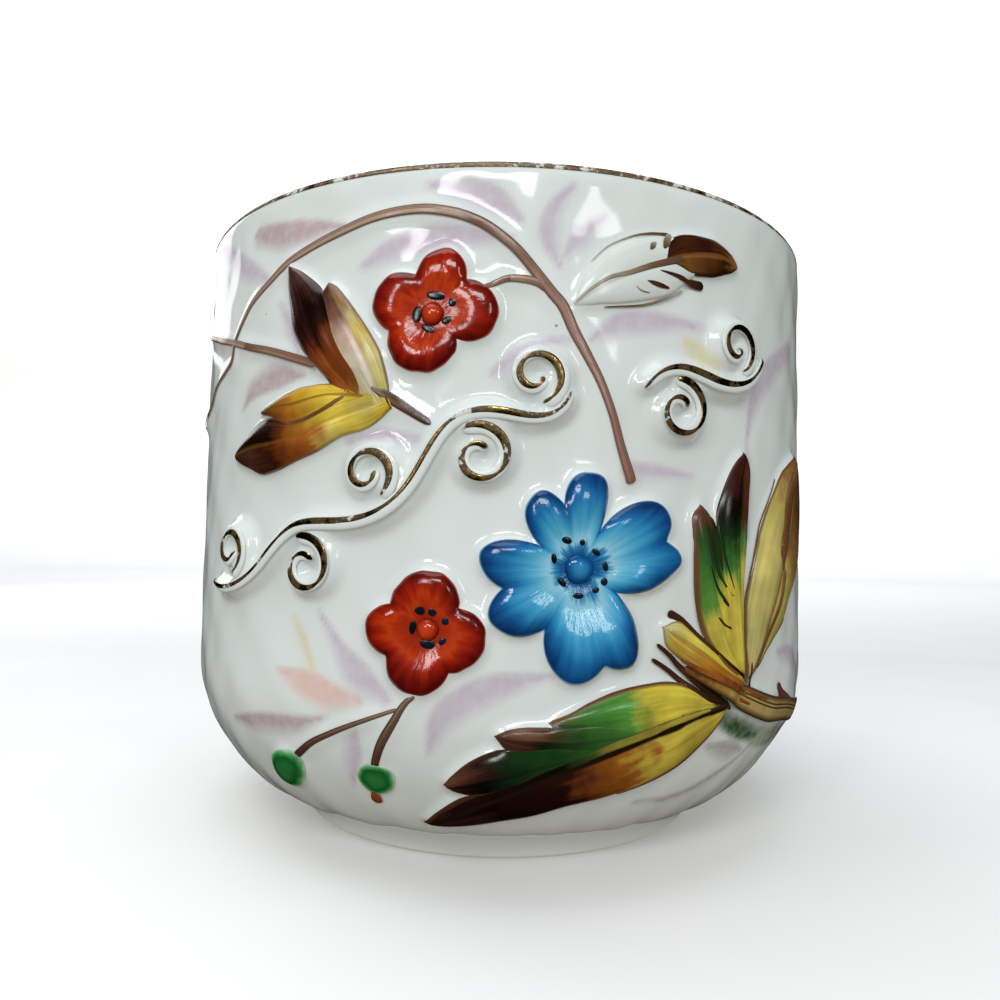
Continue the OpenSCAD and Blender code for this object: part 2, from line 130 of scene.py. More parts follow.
# %% The leaves as drawn: rib, left half widths, right half widths (mm)
LEAVES = {
    "leaf_left_inner": [
        ([(-12.9, 53.6), (-14.9, 58.6), (-17, 62.5), (-18.9, 65.5), (-20.5, 67.7)],
         [0.9, 2.2, 3.2, 3.7, 3.5, 3.2, 2.7, 1.5, 0], [0.7, 1.3, 1.6, 1.5, 1.3, 1.1, 0.9, 0.6, 0])],
    "leaf_left_upper": [
        ([(-15.6, 54.6), (-19.2, 58.3), (-21.8, 62), (-23.6, 66), (-26.5, 70.4)],
         [0.3, 1.3, 1.7, 2.0, 2.6, 3.0, 2.7, 1.6, 0], [0.3, 1.5, 1.9, 2.3, 2.8, 2.9, 2.5, 1.4, 0])],
    "leaf_left_lower": [
        ([(-12.3, 54.3), (-17.6, 52.8), (-22.5, 51), (-27, 50.1), (-32, 49.8), (-36.7, 49)],
         [1.0, 2.2, 2.1, 2.3, 2.5, 3.0, 3.2, 1.8, 0], [0.8, 1.9, 1.7, 1.6, 1.9, 3.0, 3.0, 1.6, 0])],
    "leaf_left_middle": [
        ([(-15.2, 54.7), (-19.6, 55), (-24, 54.3), (-28, 54.2), (-31.2, 53.9)],
         [0.3, 1.0, 1.7, 2.0, 2.2, 1.9, 1.1, 0.5, 0], [0.3, 0.8, 1.3, 1.7, 1.9, 1.5, 0.8, 0.4, 0])],
    "leaf_upper_right": [
        ([(7.4, 64.6), (10, 66.4), (13.3, 68.2), (17, 69.8), (20.4, 70.9), (24.6, 71.6), (29.0, 71.8)],
         [0.2, 1.6, 2.7, 3.3, 3.2, 2.6, 1.9, 1.0, 0], [0.2, 1.4, 2.5, 3.2, 3.5, 2.9, 1.7, 1.2, 0]),
        ([(17.9, 70.3), (20.5, 71.2), (23.6, 71.8), (26.5, 72), (29.4, 71.7)],
         [0.3, 1.9, 2.4, 2.4, 2.2, 2.0, 1.6, 1.0, 0], [0.3, 1.0, 1.9, 2.2, 2.3, 2.2, 1.8, 1.1, 0])],
    "leaf_right_outer": [
        ([(31.4, 23.9), (33.5, 28), (35, 31.5), (36.8, 35), (39.6, 39.7), (42.6, 45), (46, 51.4)],
         [0.3, 2.6, 3.9, 4.6, 5.2, 5.6, 5.4, 3.8, 0], [0.3, 1.4, 3.4, 5.0, 5.8, 6.8, 7.2, 5.2, 0])],
    "leaf_right_upright": [
        ([(29.6, 24.6), (26.6, 28.5), (24.8, 33), (23.6, 38), (23.2, 41.5), (23.1, 43.9)],
         [0.3, 1.7, 2.2, 2.2, 1.9, 1.4, 1.4, 1.2, 0], [0.3, 1.3, 2.0, 2.3, 2.4, 2.3, 2.0, 1.4, 0]),
        ([(30.3, 24.5), (29, 30), (28.4, 36), (28.4, 42), (29.3, 47), (30.6, 50.3)],
         [0.3, 1.8, 2.4, 2.7, 2.9, 3.0, 2.2, 1.1, 0], [0.3, 0.6, 1.0, 1.5, 2.1, 2.3, 2.3, 1.9, 0])],
    "leaf_right_small": [
        ([(30.4, 23.4), (26.4, 25.3), (22, 28), (18, 30.4)],
         [0.3, 2.0, 2.4, 2.3, 2.1, 2.0, 1.9, 1.5, 0], [0.3, 0.7, 0.9, 1.0, 1.1, 1.3, 1.5, 1.5, 0])],
    "leaf_right_broad": [
        ([(25.4, 21.4), (20, 21.8), (14, 21), (9, 20.6), (5.2, 20.6)],
         [0.3, 1.2, 2.1, 2.4, 2.7, 2.8, 2.6, 1.4, 0], [0.3, 1.2, 2.3, 2.8, 2.8, 2.3, 1.6, 0.7, 0]),
        ([(15, 19.4), (9, 18.9), (4, 19), (-0.4, 19.1)],
         [0.3, 0.9, 1.5, 1.8, 1.9, 2.0, 1.7, 1.2, 0], [0.3, 0.9, 1.5, 1.6, 1.4, 1.2, 1.1, 0.7, 0]),
        ([(12, 17.8), (6, 16.6), (1, 15.4), (-3, 14.2), (-6.1, 13.3)],
         [0.3, 1.0, 1.4, 1.6, 1.7, 1.7, 1.6, 1.2, 0], [0.3, 1.1, 2.0, 2.3, 2.5, 2.3, 1.8, 0.9, 0]),
        ([(27.4, 21.2), (22, 20.4), (16, 18.9), (9.5, 16.7), (3, 14), (-3, 11), (-9.8, 7.5)],
         [0.3, 3.7, 5.6, 6.2, 5.7, 5.0, 4.2, 2.5, 0], [0.3, 0.7, 1.1, 1.2, 1.2, 1.1, 1.3, 1.2, 0])],
}
LEAF_RISE, BARE_RISE, LEAF_RIM = 1.35, 0.55, 0.4
LEAST_HALF = 0.02


def blade(rib, left, right, rows=64, cols=29):
    """Drawn grid of a leaf, with its share along and across and its distances to rib and edge."""
    even = np.linspace(0, 1, rows)
    # rows lie closer together towards base and tip
    u = 0.6 * even + 0.4 * (0.5 - 0.5 * np.cos(np.pi * even))
    v = np.linspace(-1, 1, cols)
    line = smooth_line(rib, u)
    side = headings(line)[1]
    half = np.maximum(np.where(v[None] > 0, smooth_line(left, u), smooth_line(right, u)), LEAST_HALF)
    spot = line[:, None] + side[:, None] * (v * half)[..., None]
    length = np.linalg.norm(np.diff(line, axis=0), axis=1).sum()
    # near the tip the edge ahead counts as well
    edge = np.minimum((1 - np.abs(v)) * half, (1 - u[:, None]) * length * 0.6)
    return {"spot": spot, "u": np.repeat(u[:, None], cols, 1), "v": np.repeat(v[None], rows, 0),
            "rib_mm": np.abs(v) * half, "edge_mm": edge}


def blade_height(leaf, rise):
    """Moulded height: full flanks, a sunk rib, lower towards base and tip."""
    u, v, dip = leaf["u"], np.abs(leaf["v"]), np.exp(-(leaf["rib_mm"] / 0.45) ** 2)
    return (LEAF_RIM + rise * (1 - v ** 2.4) * (0.3 + 0.7 * np.sin(np.pi * u ** 0.9))
            * (1 - 0.4 * dip * (v < 0.5)))


blades = {name: [blade(*b) for b in parts] for name, parts in LEAVES.items()}
print("leaves:", len(LEAVES), "blades:", sum(map(len, blades.values())))

# %% [markdown]
# A flower's edge is a ring of tips and the notches between them, each an angle and a reach. Between
# a notch and a tip the edge swells as a petal does: quick out of the notch, round at the tip. This
# takes eight pairs for a flower of four petals and sixteen where each petal is split. A third number
# makes the flank after that point steeper or slacker.

# %% The flowers as drawn: centre, [(angle, reach of a tip), (angle, reach of a notch), ...]
FLOWERS = {
    "upper_red": ((-7.7, 63.1), [(3, 7.0), (46, 5.1), (78, 7.2), (114, 4.7), (158, 7.2), (197, 5.1),
                                 (238, 6.4), (315, 3.8)]),
    "lower_red": ((-7.5, 30.0), [(-14, 6.2), (36, 3.9), (92, 6.2), (148, 4.9), (181, 7.0), (213, 5.3),
                                 (250, 7.1), (298, 5.0)]),
    "blue": ((8.1, 36.6), [(4, 12.3), (17, 10.5), (29, 12.2), (62, 4.6, 4.5), (86, 10.3), (104, 6.9),
                           (119, 9.2), (150, 4.8), (173, 10.4), (195, 8.2), (212, 10.7), (241, 7.2),
                           (270, 12.1), (286, 10.6), (300, 12.0, 1.6), (329, 4.8, 1.1)]),
}
# rays and rings of each flower's grid
FLOWER_GRIDS = {"upper_red": (168, 30), "lower_red": (168, 30), "blue": (256, 40)}
# rise of the fold, its share of the way out, its width, and the step round the eye
PETAL_FORMS = {"upper_red": (1.0, 0.66, 0.34, 0.0), "lower_red": (1.0, 0.66, 0.34, 0.0),
               "blue": (1.3, 0.66, 0.29, 0.2)}
PETAL_RIM = 0.3
EVEN_SWELL = 2.0


def petal_reach(pairs, angle):
    """Reach of the edge at an angle, how near a tip (1) or notch (0) it is, how deep the notch is."""
    turn = np.array([p[0] for p in pairs] + [pairs[0][0] + 360], float)
    reach = np.array([p[1] for p in pairs] + [pairs[0][1]], float)
    swell = np.array([p[2] if len(p) > 2 else EVEN_SWELL for p in pairs])
    a = (np.asarray(angle) - turn[0]) % 360 + turn[0]
    k = np.clip(np.searchsorted(turn, a, side="right") - 1, 0, len(pairs) - 1)
    s = (a - turn[k]) / (turn[k + 1] - turn[k])
    from_tip = k % 2 == 0
    near = np.where(from_tip, 1 - s, s)
    tip, notch = np.where(from_tip, reach[k], reach[k + 1]), np.where(from_tip, reach[k + 1], reach[k])
    uneven = 0.05 * (np.sin(np.radians(11 * a)) + 0.6 * np.sin(np.radians(19 * a + 60)))
    return notch + (tip - notch) * (1 - (1 - near) ** swell[k]) + uneven, near, 1 - notch / tip


def flower(centre, pairs, rays, rings, eye=1.1):
    """Drawn grid of a ring of petals, with what its height and its paint need at each point."""
    angle = np.linspace(0, 360, rays, endpoint=False)
    reach, near, deep = petal_reach(pairs, angle)
    q = np.linspace(0, 1, rings) ** 0.9
    r = eye + (reach[:, None] - eye) * q[None]
    way = np.stack([np.cos(np.radians(angle)), np.sin(np.radians(angle))], -1)
    grid = {"spot": np.array(centre) + way[:, None] * r[..., None], "q": np.repeat(q[None], rays, 0), "r": r}
    for key, values in (("angle", angle), ("near", near), ("deep", deep), ("reach", reach)):
        grid[key] = np.repeat(values[:, None], rings, 1)
    return grid


def petal_height(f, rise, crest, width, step):
    """Cupped petals: a low eye with a step round it, a fold part of the way out, valleys between."""
    fold = 0.3 + 0.7 * np.exp(-((f["q"] - crest) / width) ** 2)
    groove = np.minimum(0.8, 1.4 * f["deep"]) * (1 - f["near"]) ** 3 * np.clip(1.8 * f["q"], 0, 1)
    return PETAL_RIM + rise * fold * (1 - groove) + step * np.exp(-((f["r"] - 3.0) / 0.4) ** 2)


flowers = {name: flower(*FLOWERS[name], *FLOWER_GRIDS[name]) for name in FLOWERS}
print("flowers:", {k: f["spot"].shape[:2] for k, f in flowers.items()})

# %% [markdown]
# Stems are lines with widths spaced evenly along them. The running scroll is a wavy vine with a curl
# in each bay, the usual filler of a gilt band; each curl is a spiral whose radius shrinks as it turns.

# %% Stems, twigs and buds as drawn
STEMS = {
    "arch_stem": [
        ([(-54, 54.4), (-47.2, 57), (-44.1, 58.9), (-41.2, 60.3), (-38.9, 61.4), (-38, 63.4), (-36.1, 65.6),
          (-34, 67.3), (-30.4, 69.2), (-27, 70.8), (-20, 72.9), (-14, 74.3), (-9.9, 74.6), (-6.1, 74.1),
          (-3.6, 73.3), (-1.5, 72.2), (1, 70.2), (3, 68), (4.9, 65.7), (6.2, 64.2), (7.4, 61.7), (9, 59),
          (10.4, 56.5), (11.8, 53), (12.7, 50), (13.5, 47.6), (14.1, 45.8)],
         0.5, 0.6, 0.65, 0.95, 1.1, 1.1, 1.25, 0.95, 1.2),
        ([(-50, 66.4), (-46, 65.4), (-42.7, 64.5), (-38.2, 63.4), (-34, 62.2), (-30, 61.2), (-26, 60),
          (-21.6, 58.6)],
         0.7, 1.0),
        ([(5, 65.6), (3.4, 66.7), (1.5, 67), (0, 66.9), (-1.4, 66.3), (-2.4, 65.8)], 1.0, 0.5)],
    "leaf_twig": [
        ([(-14.4, 55.7), (-12.4, 54.5), (-10.5, 53.3), (-7.7, 51.6)], 0.5, 1.15, 1.0, 0.8)],
    "bud_stem_left": [
        ([(-10.6, 21.5), (-14.1, 20.2), (-18, 18.6), (-21.5, 17), (-24, 15.4), (-26.3, 13.8)], 0.4, 0.7, 0.95)],
    "bud_stem_right": [
        ([(-8.8, 23), (-10, 22), (-11.4, 19.8), (-12.8, 17.6), (-13.9, 15.2), (-14.1, 14.4)], 0.5, 1.0, 0.8)],
    "spray_twig": [
        ([(21, 25.8), (24, 24.5), (28, 22.8), (32.2, 21.1), (37.5, 19.5), (43, 18.7), (49, 17.6), (56, 16.8)],
         0.9, 2.2, 3.1, 3.3, 3.1, 2.9)],
}
# centre, length and width in the drawing, turn in degrees, rise
BUDS = {"bud_left": ((-27.8, 12.6), 7.4, 4.5, 28, 0.9), "bud_right": ((-14.3, 13.1), 4.8, 3.9, 12, 0.35)}
print("stems:", len(STEMS), "buds:", len(BUDS))

# %% The running scroll as drawn lines
# control points, number of bays, side of the first wave
SCROLLS = {"scroll_left": ([(-40, 34), (-28, 37), (-18, 41), (-8, 47.6), (0, 52.6), (7, 55)], 5, -1),
           "scroll_right": ([(15.4, 56), (24, 57.6), (33, 61.6)], 2, 1)}
SCROLL_W, CURL_R, WAVE = 1.7, 3.2, 1.8
CURL_TURN = math.radians(430)


def vine(points, bays, way, u):
    line = smooth_line(points, u)
    return line + headings(line)[1] * (WAVE * way * np.sin(np.pi * bays * u))[:, None]


def scroll_lines(points, bays, way):
    """The vine and its curls: a list of (drawn line, half widths)."""
    u = np.linspace(0, 1, 40 * bays)
    swell = np.sqrt(np.sin(np.pi * np.clip(u, 0.001, 0.999)))
    lines = [(vine(points, bays, way, u), SCROLL_W / 2 * (0.45 + 0.55 * swell))]
    starts = vine(points, bays, way, np.linspace(0, 1, 801))
    t = np.linspace(0, 1, 56)
    for k in range(bays):
        at = (k + 0.5) / bays
        side = 1 if math.sin(math.pi * bays * at) * way > 0 else -1
        ahead, left = headings(smooth_line(points, np.array([at - 0.01, at, at + 0.01])))
        middle = starts[round(at * 800)] - left[1] * side * (CURL_R + SCROLL_W * 0.75)
        a = math.atan2(ahead[1][1], ahead[1][0]) + side * (math.pi / 2 - CURL_TURN * t)
        r = CURL_R * (1 - 0.72 * t)
        lines.append((middle + np.stack([r * np.cos(a), r * np.sin(a)], -1), SCROLL_W / 2 * (1 - 0.35 * t)))
    return lines


scrolls = {name: scroll_lines(*rule) for name, rule in SCROLLS.items()}
print("scroll lines:", {name: len(lines) for name, lines in scrolls.items()})

# %% [markdown]
# The sprigs are not stuck on: they were pressed in one mould with the wall, and the glaze rounds
# every corner. So all of them are first stamped into one height map of the drawing, which is then
# blurred by about half a millimetre. The body takes its bumps from this map, and each painted leaf
# lies on it, so paint and clay always agree. Displacement in the shader would not be exported.

# %% A height map of the drawing, and tools to press shapes into it
CELL = 0.25
GRID_X, GRID_Z = np.arange(-72, 72.01, CELL), np.arange(0, 80.01, CELL)
relief = np.zeros((len(GRID_Z), len(GRID_X)))


def cells(x, z):
    """Row and column of the map, with fractions, at drawn points."""
    return (np.clip((z - GRID_Z[0]) / CELL, 0, len(GRID_Z) - 1.001),
            np.clip((x - GRID_X[0]) / CELL, 0, len(GRID_X) - 1.001))


def stamp(spot, height):
    """Raises the map to a height at drawn points, where it isn't higher already."""
    i, j = (np.rint(place).astype(int).ravel() for place in cells(spot[..., 0], spot[..., 1]))
    np.maximum.at(relief, (i, j), np.broadcast_to(height, spot.shape[:-1]).ravel())


def between(field, i, j):
    """Values of a grid at rows i and columns j with fractions, by straight interpolation."""
    k, m = np.minimum(i.astype(int), field.shape[0] - 2), np.minimum(j.astype(int), field.shape[1] - 2)
    a, b = (share[..., None] if field.ndim == 3 else share for share in (i - k, j - m))
    return (field[k, m] * (1 - a) * (1 - b) + field[k + 1, m] * a * (1 - b)
            + field[k, m + 1] * (1 - a) * b + field[k + 1, m + 1] * a * b)


def refine(field, times):
    """A grid made finer, so that stamping leaves no holes."""
    rows, cols = (np.linspace(0, n - 1, (n - 1) * times + 1) for n in field.shape[:2])
    return between(field, *np.meshgrid(rows, cols, indexing="ij"))


def ridge(line, half, height):
    """Stamps a rounded ridge along a drawn line."""
    left = headings(line)[1]
    for s in np.linspace(-1, 1, 15):
        stamp(line + left * (s * half)[:, None], height * math.sqrt(max(0.0, 1 - s * s)))


def blurred(field, sigma):
    reach = int(3 * sigma / CELL) + 1
    k = np.exp(-0.5 * (np.arange(-reach, reach + 1) * CELL / sigma) ** 2)
    k /= k.sum()

    def blur_row(row):
        return np.convolve(np.pad(row, reach, mode="edge"), k, mode="valid")

    for axis in (0, 1):
        field = np.apply_along_axis(blur_row, axis, field)
    return field


def oval_spots(centre, turn, along, aside):
    """Drawn points at distances along and beside an axis turned by so many degrees."""
    t = math.radians(turn)
    return np.stack([centre[0] + along * math.cos(t) - aside * math.sin(t),
                     centre[1] + along * math.sin(t) + aside * math.cos(t)], -1)


print("empty map", relief.shape, "cells of", CELL, "mm")

# %% Press the sprigs into the map
STEM_RISE, SCROLL_RISE, SCROLL_FLANK, BLUR, LUMP = 0.4, 1.5, 1.9, 0.4, 0.05
for name, parts in blades.items():
    for b in parts:
        # the bare leaf at the top is the flattest
        height = blade_height(b, BARE_RISE if name == "leaf_upper_right" else LEAF_RISE)
        stamp(refine(b["spot"], 4), refine(height, 4))
eye_pad = np.arange(-1.2, 1.21, 0.1)
for name, f in flowers.items():
    ring = (f["spot"], petal_height(f, *PETAL_FORMS[name]))
    stamp(*(refine(np.concatenate([field, field[:1]]), 3) for field in ring))
    eye = np.array(FLOWERS[name][0]) + np.stack(np.meshgrid(eye_pad, eye_pad), -1)
    stamp(eye, PETAL_RIM + 0.3 * PETAL_FORMS[name][0])
for lines in STEMS.values():
    for points, *widths in lines:
        u = np.linspace(0, 1, 900)
        # wider than the painted stem, so that the clay swells up to it
        ridge(smooth_line(points, u), 0.7 * smooth_line(widths, u)[:, 0] + 0.5, STEM_RISE)
for centre, long, wide, turn, rise in BUDS.values():
    q, a = np.meshgrid(np.linspace(0, 1, 40), np.linspace(0, 2 * np.pi, 160))
    stamp(oval_spots(centre, turn, long / 2 * q * np.cos(a), wide / 2 * q * np.sin(a)), rise * np.sqrt(1 - q * q))
for lines in scrolls.values():
    for line, half in lines:
        u = np.linspace(0, 1, len(line) * 8)
        ridge(smooth_line(line, u), smooth_line(half, u)[:, 0] * SCROLL_FLANK, SCROLL_RISE)
relief = blurred(relief, BLUR)
# soft lumps left by the mould, between and around the sprigs
lump_x, lump_z = np.meshgrid(GRID_X, GRID_Z)
slanting = np.sin(0.62 * lump_x + 0.5 * lump_z)
crossing = np.sin(0.45 * lump_z - 0.8 * lump_x + 2) * np.sin(0.3 * lump_x + 1)
relief += LUMP * (2 + slanting + crossing) - LUMP


def lift_at(x, z):
    """Height of the moulded relief at drawn points."""
    return between(relief, *cells(x, z))


print("relief map", relief.shape, "highest", round(float(relief.max()), 2), "mm")

# %% [markdown]
# Three small helpers carry every material and node tree. The first turns a sRGB hex colour into the
# linear numbers that Blender mixes with. The second sets or links a node's inputs, and the third adds
# a node with its settings and inputs at once, so that a material reads as a list of what feeds what.

# %% Colour and node helpers
def linear(code):
    part = [int(code[i:i + 2], 16) / 255 for i in (1, 3, 5)]
    return tuple(c / 12.92 if c <= 0.04045 else ((c + 0.055) / 1.055) ** 2.4 for c in part) + (1.0,)


def feed(tree, node, inputs):
    """Sets a node's inputs: a value, a hex colour, or a link from a socket or a node's first output."""
    for key, value in inputs.items():
        if isinstance(value, bpy.types.Node):
            value = next(socket for socket in value.outputs if socket.enabled)
        if isinstance(value, bpy.types.NodeSocket):
            tree.links.new(value, node.inputs[key])
        else:
            is_colour = isinstance(value, str) and value.startswith("#")
            node.inputs[key].default_value = linear(value) if is_colour else value


def put(tree, kind, inputs=None, stops=None, **settings):
    """Adds one node: settings are its properties, inputs its values or the sockets linked to it."""
    node = tree.nodes.new(kind)
    for name, value in settings.items():
        setattr(node, name, value)
    feed(tree, node, inputs or {})
    if stops:
        for _ in stops[2:]:
            node.color_ramp.elements.new(0.5)
        for element, (place, code) in zip(node.color_ramp.elements, stops):
            element.position, element.color = place, linear(code)
    return node


def new_finish(name):
    """An empty material with its tree and its surface shader."""
    finish = bpy.data.materials.new(name)
    finish.use_nodes = True
    return finish, finish.node_tree, finish.node_tree.nodes["Principled BSDF"]


print("mid grey in linear:", round(linear("#808080")[0], 4))

# %% [markdown]
# Hard-paste porcelain under a clear feldspar glaze: a cool white body colour with a sharp, slightly
# wavy gloss (IOR about 1.5, roughness about 0.1). Brushed over it are thin washes, most of them lilac,
# kept in the body's own attributes because they follow the drawing. Two pale yellow patches among them
# are no wash but a painted warm sheen, a reflection put into the glaze colour. The kiln leaves a few
# dark specks, a third of a millimetre wide, and the standing edge of the foot is left unglazed and rough.

# %% Glazed porcelain
# the pale yellow #e2dab4 kind is a painted warm sheen: a reflection painted into the glaze colour
WASH_COLOURS = {"wash": "#c8bccb", "blush": "#bba6ac", "rose": "#e3c2b8", "shade": "#aeaca9",
                "warm_sheen": "#e2dab4", "sage": "#9aa793", "moss": "#2f5229"}


def porcelain(name, washed):
    finish, tree, skin = new_finish(name)
    place = put(tree, "ShaderNodeTexCoord").outputs["Object"]
    # a tint that drifts over 25 mm, as glaze pools and thins
    drift = put(tree, "ShaderNodeTexNoise", {"Vector": place, "Scale": 40.0, "Detail": 2.0})
    colour = put(tree, "ShaderNodeValToRGB", {"Fac": drift}, stops=[(0.3, "#dbe4e2"), (0.7, "#e6edec")])
    if washed:
        # the brush breaks a wash every millimetre or so
        brush = put(tree, "ShaderNodeTexNoise", {"Vector": place, "Scale": 900.0, "Detail": 3.0})
        streak = put(tree, "ShaderNodeMapRange", {"Value": brush, "From Min": 0.3,
                                                  "From Max": 0.7, "To Min": 0.72, "To Max": 1.0})
        # each kind is mixed into the glaze colour, the pale yellow one as a painted warm sheen
        for attribute, code in WASH_COLOURS.items():
            cover = put(tree, "ShaderNodeAttribute", attribute_name=attribute)
            strength = put(tree, "ShaderNodeMath", {0: cover.outputs["Fac"], 1: streak}, operation="MULTIPLY")
            colour = put(tree, "ShaderNodeMix", {"Factor": strength, "A": colour, "B": code}, data_type="RGBA")
    # kiln specks: half the cells of a 9 mm net hold one
    net = put(tree, "ShaderNodeTexVoronoi", {"Vector": place, "Scale": 110.0, "Randomness": 1.0})
    speck = put(tree, "ShaderNodeMapRange", {"Value": net.outputs["Distance"], "From Min": 0.016,
                                             "From Max": 0.028, "To Min": 0.75, "To Max": 0.0})
    lot = put(tree, "ShaderNodeSeparateColor", {"Color": net.outputs["Color"]})
    chance = put(tree, "ShaderNodeMath", {0: lot.outputs[0], 1: 0.5}, operation="GREATER_THAN")
    fleck = put(tree, "ShaderNodeMath", {0: speck, 1: chance}, operation="MULTIPLY")
    specked = put(tree, "ShaderNodeMix", {"Factor": fleck, "A": colour, "B": "#3a332c"}, data_type="RGBA")
    # bare clay on the lowest half millimetre of the foot
    height = put(tree, "ShaderNodeSeparateXYZ", {0: place}).outputs["Z"]
    low = put(tree, "ShaderNodeMapRange", {"Value": height, "From Min": 0.0003, "From Max": 0.0006,
                                           "To Min": 1.0, "To Max": 0.0})
    footed = put(tree, "ShaderNodeMix", {"Factor": low, "A": specked, "B": "#dfe2dc"}, data_type="RGBA")
    gloss = put(tree, "ShaderNodeMapRange", {"Value": low, "To Min": 0.1, "To Max": 0.6})
    # glaze waves about 4 mm long and a few hundredths high
    wave = put(tree, "ShaderNodeTexNoise", {"Vector": place, "Scale": 260.0, "Detail": 1.0})
    bump = put(tree, "ShaderNodeBump", {"Height": wave, "Strength": 0.22, "Distance": 0.0003})
    feed(tree, skin, {"Base Color": footed, "Roughness": gloss, "Normal": bump, "IOR": 1.5})
    return finish


WASHED_PORCELAIN = porcelain("porcelain_glaze_washed", True)
PLAIN_PORCELAIN = porcelain("porcelain_glaze", False)
print("finishes:", WASHED_PORCELAIN.name, PLAIN_PORCELAIN.name)

# %% [markdown]
# Liquid bright gold is a film thinner than a hair. Where hands have rubbed it, it is brown and dull
# or gone, and elsewhere it still mirrors. A noise of patches two to four millimetres wide, broken
# finer, decides which: gold is fully metallic with a low roughness, worn film is a dark brown stain
# on the glaze.

# %% Worn gilding
def gilding(name, gone, bright, dull, shiny, scale):
    """Noise under gone is bare glaze, over bright it is gold, and between them it is worn film."""
    finish, tree, skin = new_finish(name)
    place = put(tree, "ShaderNodeTexCoord").outputs["Object"]
    patch = put(tree, "ShaderNodeTexNoise", {"Vector": place, "Scale": scale, "Detail": 5.0, "Roughness": 0.7})
    tone = put(tree, "ShaderNodeValToRGB", {"Fac": patch},
               stops=[(gone, "#cfd3cc"), (gone + 0.03, dull), (bright, dull), (bright + 0.1, shiny)])
    metal = put(tree, "ShaderNodeMapRange", {"Value": patch, "From Min": bright - 0.02, "From Max": bright + 0.06,
                                             "To Min": 0.0, "To Max": 1.0})
    rough = put(tree, "ShaderNodeMapRange", {"Value": patch, "From Min": gone, "From Max": bright + 0.12,
                                             "To Min": 0.5, "To Max": 0.2})
    # a grain of 0.4 mm
    grain = put(tree, "ShaderNodeTexNoise", {"Vector": place, "Scale": 2600.0, "Detail": 2.0})
    bump = put(tree, "ShaderNodeBump", {"Height": grain, "Strength": 0.3, "Distance": 0.00006})
    feed(tree, skin, {"Base Color": tone, "Metallic": metal, "Roughness": rough, "Normal": bump})
    return finish


RIM_GOLD = gilding("worn_gilding_rim", 0.43, 0.54, "#6b553b", "#b09464", 620.0)
SCROLL_GOLD = gilding("worn_gilding_scroll", 0.4, 0.47, "#4f3d22", "#c2a466", 260.0)
print("finishes:", RIM_GOLD.name, SCROLL_GOLD.name)

# %% [markdown]
# Overglaze enamel is a coloured glass painted on with a brush and fired again at a low heat. It is
# shiny, a little less so than the glaze, and shows the brush: long streaks along each leaf, colour
# that pools dark at the edges and thins to yellow at the base. The leaf's UV map runs from base to
# tip and from edge to edge, so the colours follow its shape, and two attributes give the distance
# in millimetres to rib and edge for lines of an even width.

